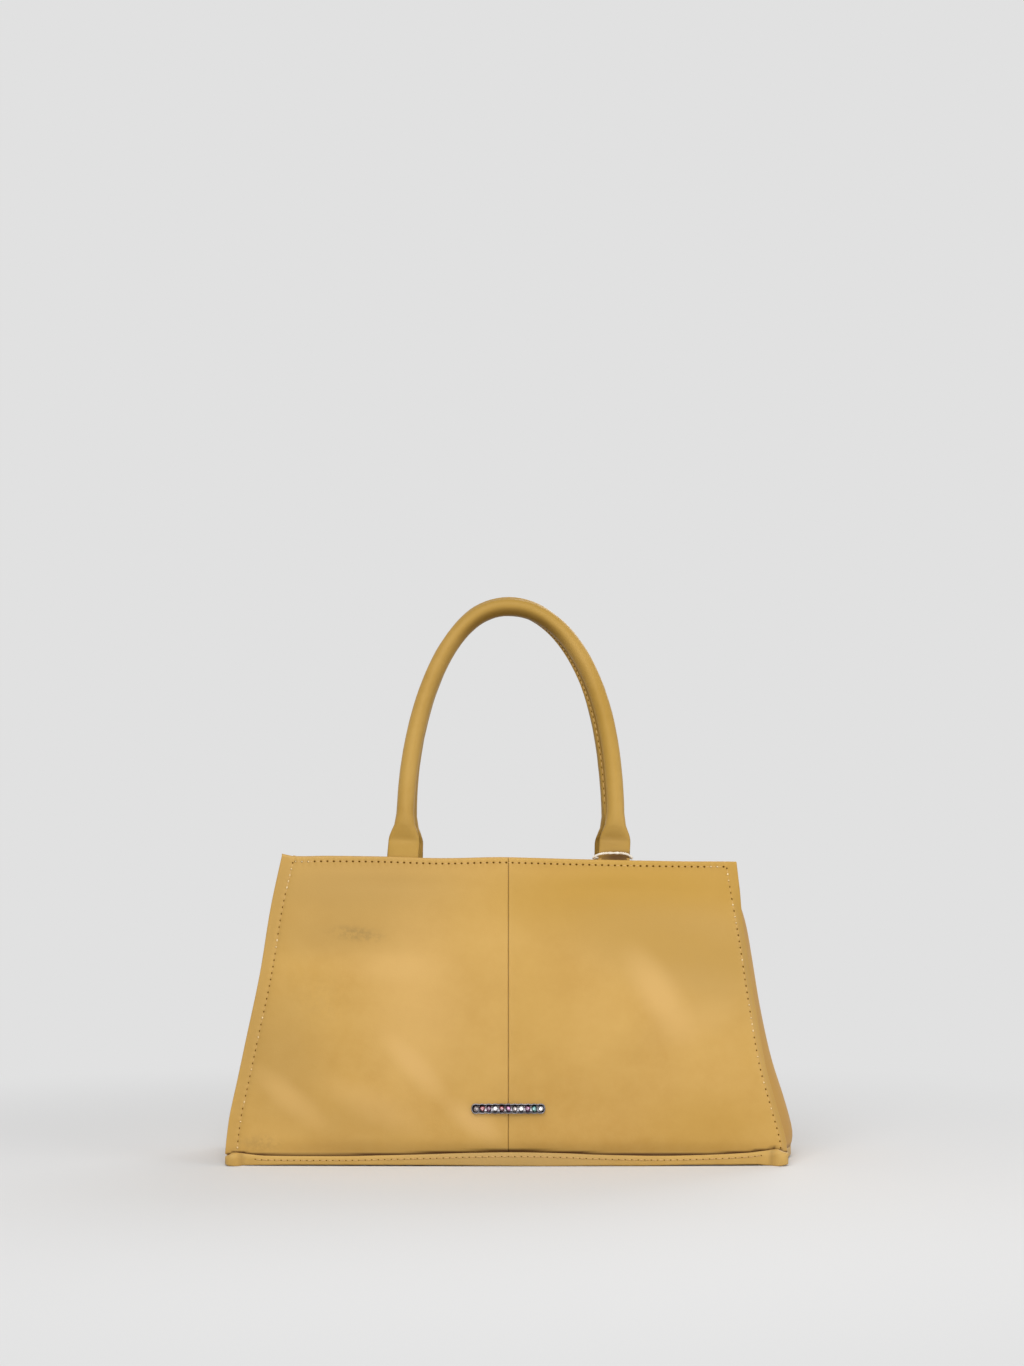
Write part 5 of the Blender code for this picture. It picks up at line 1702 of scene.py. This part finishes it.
for number, kind in enumerate(stone_order):
    stone = cut_stone(f"cut_stone_{number + 1}", stone_pitch * (number - 5), stone_kinds[kind], 0.37 * number)
    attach(stone, "bag")
    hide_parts(f"plaque_stone_{number + 1}")


# The handles. A strip of camel leather is rolled round a cotton cord and closed by a narrow lip, then
# pressed flat at both ends into a tab that goes down between the panel and the facing.
handle_rise = 0.1429
handle_straight = 0.0187
handle_radius = 0.0049
tab_half_thickness = 0.0014
tab_plane = 0.0031
handle_lean = 0.1520
arch_power = 2.1
tab_foot = -0.0045
leg_share = 0.16
cover_sides = 32
press_up = 0.0112
slit_depth = 0.0016
fold_start = 0.1664
fold_end = 0.1760
lip_start = 0.150
lip_end = 0.850
lip_reach = 0.0024
lip_half = 0.0008
lip_foot = handle_radius - 0.0008
lip_steps = 80
lip_stitches = 92
lip_row = handle_radius + 0.0010
arch_lean = ((0.0, 0.0), (0.020, 0.0010), (0.050, 0.0014), (0.080, 0.0019), (0.110, 0.0019), (0.130, 0.0013),
             (0.1429, 0.0002))
arch_lag = 0.0013
arch_extra = 0.0024
cord_start = 0.172
cord_steps = 150
cord_radius = 0.0030
ply_turn = 14


def handle_tones_and_string_shadow(tree, colour):
    """Darker tones on the arch tops, the right leg and both tabs, and on the right tab a painted shadow under
    its string.
    """
    for centre, size, tint, strength in (((0.0, 0.306), (0.046, 0.026), (0.330, 0.182, 0.016), 0.60),
                                         ((0.052, 0.235), (0.012, 0.055), (0.400, 0.225, 0.026), 0.45),
                                         ((0.056, 0.1760), (0.016, 0.0100), (0.330, 0.185, 0.030), 0.65),
                                         # Painted shadow under the string, at the foot of the right tab.
                                         ((0.060, 0.1668), (0.013, 0.0042), (0.100, 0.038, 0.003), 1.0),
                                         ((-0.058, 0.1720), (0.014, 0.0120), (0.420, 0.240, 0.036), 0.45)):
        mask = maths(tree, "MULTIPLY", soft_spot(tree, centre, size), strength)
        colour = colour_mix(tree, mask, colour, tint)
    return colour


handle_finish = leather_finish("camel_leather_handles", (0.452, 0.266, 0.055), (0.390, 0.220, 0.038),
                               (0.520, 0.322, 0.086), (0.165, 0.082, 0.005), roughness=0.48, tones_and_painted_light=handle_tones_and_string_shadow)
cord_finish = thread_finish("cotton_cord_core", (0.80, 0.77, 0.70), (0.66, 0.61, 0.52))


def handle_centre(share):
    """A point of the handle's middle line, from 0 at the left tab's foot to 1 at the right one's."""
    side = -1 if share < 0.5 else 1
    along = min(share, 1 - share)
    if along < leg_share:
        return Vector((side * tab_middle, 0, tab_foot + (handle_straight - tab_foot) * along / leg_share))
    angle = math.pi / 2 * (along - leg_share) / (0.5 - leg_share)
    power = 2 / arch_power
    across = tab_middle * max(math.cos(angle), 0.0) ** power
    up = handle_straight + (handle_rise - handle_straight) * math.sin(angle) ** power
    return Vector((side * across, 0, up))


def handle_bend(share, front):
    """The arches lean a little to the right, the back one less than the front one."""
    centre = handle_centre(share)
    if not front:
        centre.z += arch_extra * ramp(centre.z, 0.06, handle_rise)
    lag = 0 if front else arch_lag * math.sin(math.pi * min(max(centre.z, 0) / handle_rise, 1.0))
    centre.x += eased(arch_lean, centre.z) - lag
    return centre


def handle_point(centre, across, wide, deep, front):
    """From the handle's own plane to the bag: leaned in from its pivot at the top of the panel."""
    local = centre + across * wide + Vector((0, tab_plane + deep, 0))
    y = local.y * math.cos(handle_lean) + local.z * math.sin(handle_lean)
    z = -local.y * math.sin(handle_lean) + local.z * math.cos(handle_lean)
    side = 1 if front else -1
    return Vector((local.x, side * (y - top_half_depth), body_height + z))


def handle_shares():
    """Where the cover's rings stand: fifteen up each leg, and more round the arch between them."""
    half = [leg_share * step / 15 for step in range(15)]
    half += [leg_share + (0.5 - leg_share) * step / 34 for step in range(35)]
    return half + [1 - share for share in reversed(half[:-1])]


def handle_across(share, front):
    step = 0.004
    low, high = max(share - step, 0.0), min(share + step, 1.0)
    along = (handle_bend(high, front) - handle_bend(low, front)).normalized()
    return Vector((along.z, 0, -along.x))


def cover_ring(share, front):
    """A ring of the rolled cover, with its masks of painted crease shade and edge wear: round in the arch,
    flat in the tab.
    """
    centre = handle_bend(share, front)
    across = handle_across(share, front)
    round_share = ramp(centre.z, handle_straight * 0.50, handle_straight * 1.25)
    half_width = tab_half_width + (handle_radius - tab_half_width) * round_share
    half_thick = tab_half_thickness + (handle_radius - tab_half_thickness) * min(round_share * 1.15, 1)
    power = 2 / (2 + 1.6 * (1 - round_share))
    tuck = 1 - ramp(centre.z, 0.0105, 0.0160)
    press = 0.0007 * math.exp(-((centre.z - press_up) / 0.0016) ** 2)
    pressed_crease_shade = 0.20 * math.exp(-((centre.z - press_up) / 0.0012) ** 2)
    shade_under_arch = (0.30 + 0.60 * ramp(centre.z, 0.115, 0.138)) * ramp(centre.z, 0.040, 0.120)
    points, crease_shades, edges = [], [], []
    for k in range(cover_sides):
        angle = math.tau * k / cover_sides
        wide = math.copysign(abs(math.cos(angle)) ** power, math.cos(angle))
        deep = math.copysign(abs(math.sin(angle)) ** power, math.sin(angle))
        # The tab is the flattened tube, so its two layers part in a slit along both edges.
        slit = tuck if k in (0, cover_sides // 2) else 0.0
        beside_slit = k in (1, cover_sides - 1, cover_sides // 2 - 1, cover_sides // 2 + 1)
        dip = press * (1 - wide * wide)
        wrinkle = 0.00016 * noise.noise(Vector((centre.x * 160, k * 0.9, centre.z * 160)))
        points.append(handle_point(centre, across, (half_width + wrinkle - slit_depth * slit) * wide,
                                   half_thick * deep - math.copysign(dip, deep), front))
        # Painted shade in the two slits, under the arch and along the pressed line.
        crease_shades.append(min(1.0, 0.9 * slit + shade_under_arch * ramp(wide, 0.0, 0.75) + pressed_crease_shade))
        edges.append(0.6 * tuck * beside_slit)
    return points, crease_shades, edges


def lip_turn(share, front):
    """The way the lip points, from straight in under the arch (0) to the other handle (90 degrees)."""
    return math.radians(80 - 64 * ramp(share, 0.46, 0.74)) if front else math.radians(88)


def lip_spot(share, front, out, side):
    centre = handle_bend(share, front)
    across = handle_across(share, front)
    turn = lip_turn(share, front)
    wide = out * math.cos(turn) - side * math.sin(turn)
    deep = out * math.sin(turn) + side * math.cos(turn)
    # The middle line runs from left to right, so the inside of the arch lies against its across.
    return handle_point(centre, across, wide, deep, front)


for front, word in ((True, "front"), (False, "rear")):
    body = f"{word}_handle"
    loops, crease_shades, edges = zip(*[cover_ring(share, front) for share in handle_shares()])
    cover = lofted(f"{word}_handle_leather", loops, handle_finish, {"crease_shade": crease_shades, "edge": edges})
    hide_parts(f"{word}_handle_cover")
    side = -1 if front else 1
    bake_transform(cover, "bag", body, start=(0, side * 0.0265, fold_start), end=(0, side * 0.0260, fold_end))

    loops = []
    for step in range(lip_steps + 1):
        share = lip_start + (lip_end - lip_start) * step / lip_steps
        ease = min(ramp(share, lip_start, lip_start + 0.035), 1 - ramp(share, lip_end - 0.035, lip_end))
        high = handle_radius + lip_reach * (0.15 + 0.85 * ease)
        loops.append([lip_spot(share, front, out, side_way) for out, side_way in (
            (lip_foot, -lip_half), (high - 0.0006, -lip_half), (high - 0.0001, -lip_half * 0.6), (high, 0.0),
            (high - 0.0001, lip_half * 0.6), (high - 0.0006, lip_half), (lip_foot, lip_half))])
    # Painted shade over the lip, deepest at its foot by the tube.
    lip = lofted(f"{word}_handle_lip", loops, handle_finish,
                 {"edge": [[0.0, 0.0, 0.3, 0.3, 0.3, 0.0, 0.0]] * (lip_steps + 1),
                  "crease_shade": [[0.8, 0.35, 0.25, 0.5, 0.25, 0.35, 0.8]] * (lip_steps + 1)})
    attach(lip, body)
    spots = []
    for step in range(lip_stitches + 1):
        share = lip_start + 0.03 + (lip_end - lip_start - 0.06) * step / lip_stitches
        here = lip_spot(share, front, lip_row, -lip_half)
        beyond = lip_spot(share, front, lip_row, -lip_half - 0.001)
        spots.append((here, (beyond - here).normalized()))
    stitch_row(f"{word}_handle_stitches", body, spots, camel_thread, hole_size=0.00042, radius=0.00026)

    # The cord inside: three plies laid round each other, cut off above both tabs.
    mesh = bmesh.new()
    for ply in range(3):
        rings = []
        for step in range(cord_steps + 1):
            share = cord_start + (1 - 2 * cord_start) * step / cord_steps
            centre = handle_bend(share, front)
            across = handle_across(share, front)
            wind = math.tau * (step / ply_turn + ply / 3)
            wide, deep = cord_radius * 0.48 * math.cos(wind), cord_radius * 0.48 * math.sin(wind)
            rings.append(ring_points(mesh, 8, lambda cosine, sine: handle_point(
                centre, across, wide + cord_radius * 0.5 * cosine, deep + cord_radius * 0.5 * sine, front)))
        join_rings(mesh, rings)
    cord = build_piece(f"{word}_handle_cord", mesh, cord_finish)
    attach(cord, body)
    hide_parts(f"{word}_handle_core")


# The string. A loop of thin white cotton cord is left tied round the right tab of the front handle. It
# lies on the mouth at both sides of the tab and bows up across its front, with a small knot behind.
string_radius = 0.00066
string_steps = 120
string_twist = 26
string_slack = 0.0011
knot_steps = 60
knot_radius = 0.00042


def string_finish():
    """Two ply white cotton: the plies wind round each other, with a warm fuzz."""
    made, tree, shader = new_finish("white_cotton_string")
    place = object_place(tree)
    fuzz = noise_value(tree, place, 2200.0, 3.0, 0.7)
    slow = noise_value(tree, place, 240.0, 2.0, 0.5)
    colour = colour_mix(tree, spread(tree, slow, 0.35, 0.65), (0.90, 0.84, 0.74), (0.76, 0.66, 0.52))
    tree.links.new(colour, shader.inputs["Base Color"])
    tree.links.new(spread(tree, fuzz, 0.3, 0.7, 0.75, 0.92), shader.inputs["Roughness"])
    set_normal(tree, shader, fuzz, 0.00008, 0.8)
    return made


def string_centre(share):
    """The loop's middle line round the tab, starting at the back."""
    angle = math.tau * share - math.pi / 2
    slack = 0.0012 if math.cos(angle) > 0 else 0.0026
    wide = (tab_half_width + slack) * math.copysign(abs(math.cos(angle)) ** 0.55, math.cos(angle))
    deep = -(tab_half_thickness + string_slack) * math.copysign(abs(math.sin(angle)) ** 0.6, math.sin(angle))
    front_share = max(math.sin(angle), 0.0)
    up = 0.0003 + 0.0022 * front_share ** 1.7 + 0.0008 * max(-math.sin(angle), 0)
    return Vector((tab_middle + wide, deep - 0.0016 * front_share, up))


def knot_centre(share):
    """The knot's middle line: one pass of the string over and under itself."""
    turn = math.tau * share
    reach = 0.00065 * (2 + math.cos(3 * turn))
    return Vector((tab_middle + 0.0020 + reach * math.cos(2 * turn),
                   tab_half_thickness + 0.0019 + 0.0004 * math.sin(3 * turn),
                   0.0019 + reach * math.sin(2 * turn) * 0.75))


def add_strand(mesh, middle_of, steps, ahead, up, radius, offset_of):
    """A closed run of string round a middle line, moved off it by a function of its place and ways."""
    rings = []
    for step in range(steps):
        share = step / steps
        along = (middle_of(share + ahead) - middle_of(share - ahead)).normalized()
        side, rise = cross_ways(along, up)
        middle = middle_of(share) + offset_of(share, side, rise)
        rings.append(ring_points(mesh, 6, lambda cosine, sine: handle_point(
            middle + (side * cosine + rise * sine) * radius, Vector((1, 0, 0)), 0, 0, True)))
    join_rings(mesh, rings, looped=True)


white_string = string_finish()
mesh = bmesh.new()
for ply in (0, 1):
    def wound(share, side, rise):
        wind = math.tau * (share * string_twist + ply / 2)
        return (side * math.cos(wind) + rise * math.sin(wind)) * string_radius * 0.45

    add_strand(mesh, string_centre, string_steps, 0.004, Vector((0, 0, 1)), string_radius * 0.62, wound)
add_strand(mesh, knot_centre, knot_steps, 0.02 / math.tau, Vector((0, 1, 0)), knot_radius,
           lambda share, side, rise: Vector())
string_loop = build_piece("tag_string_loop", mesh, white_string)
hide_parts("tag_string")
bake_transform(string_loop, "bag", "front_handle", start=(0, -0.0265, fold_start), end=(0, -0.0260, fold_end))


# What stays as the part has it. Hidden layers and small metal pieces keep their own solids and get the
# finish of the real ones: board, felt, leather, cord, washers, snap and zip runner.
board_finish = felt_finish("grey_board_pulp", (0.35, 0.33, 0.30), (0.27, 0.25, 0.22))
carried_over = (
    (camel_finish, ("handle_anchor_front_left", "handle_anchor_front_right",
                    "handle_anchor_rear_left", "handle_anchor_rear_right")),
    (band_felt, ("seam_tape_front", "seam_tape_rear")),
    (board_finish, ("base_board",)),
    (lining_finish, ("zip_pocket_bag",)),
    (gunmetal_finish, ("plaque_backing",)),
    (nickel_finish, ("snap_socket", "snap_post", "snap_socket_washer", "snap_post_washer")),
    (zip_metal_finish, ("zip_slider", "zip_pull", "zip_stop_left", "zip_stop_right")))
for finish, names in carried_over:
    for name in names:
        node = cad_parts[name]
        node.data.materials.clear()
        node.data.materials.append(finish)
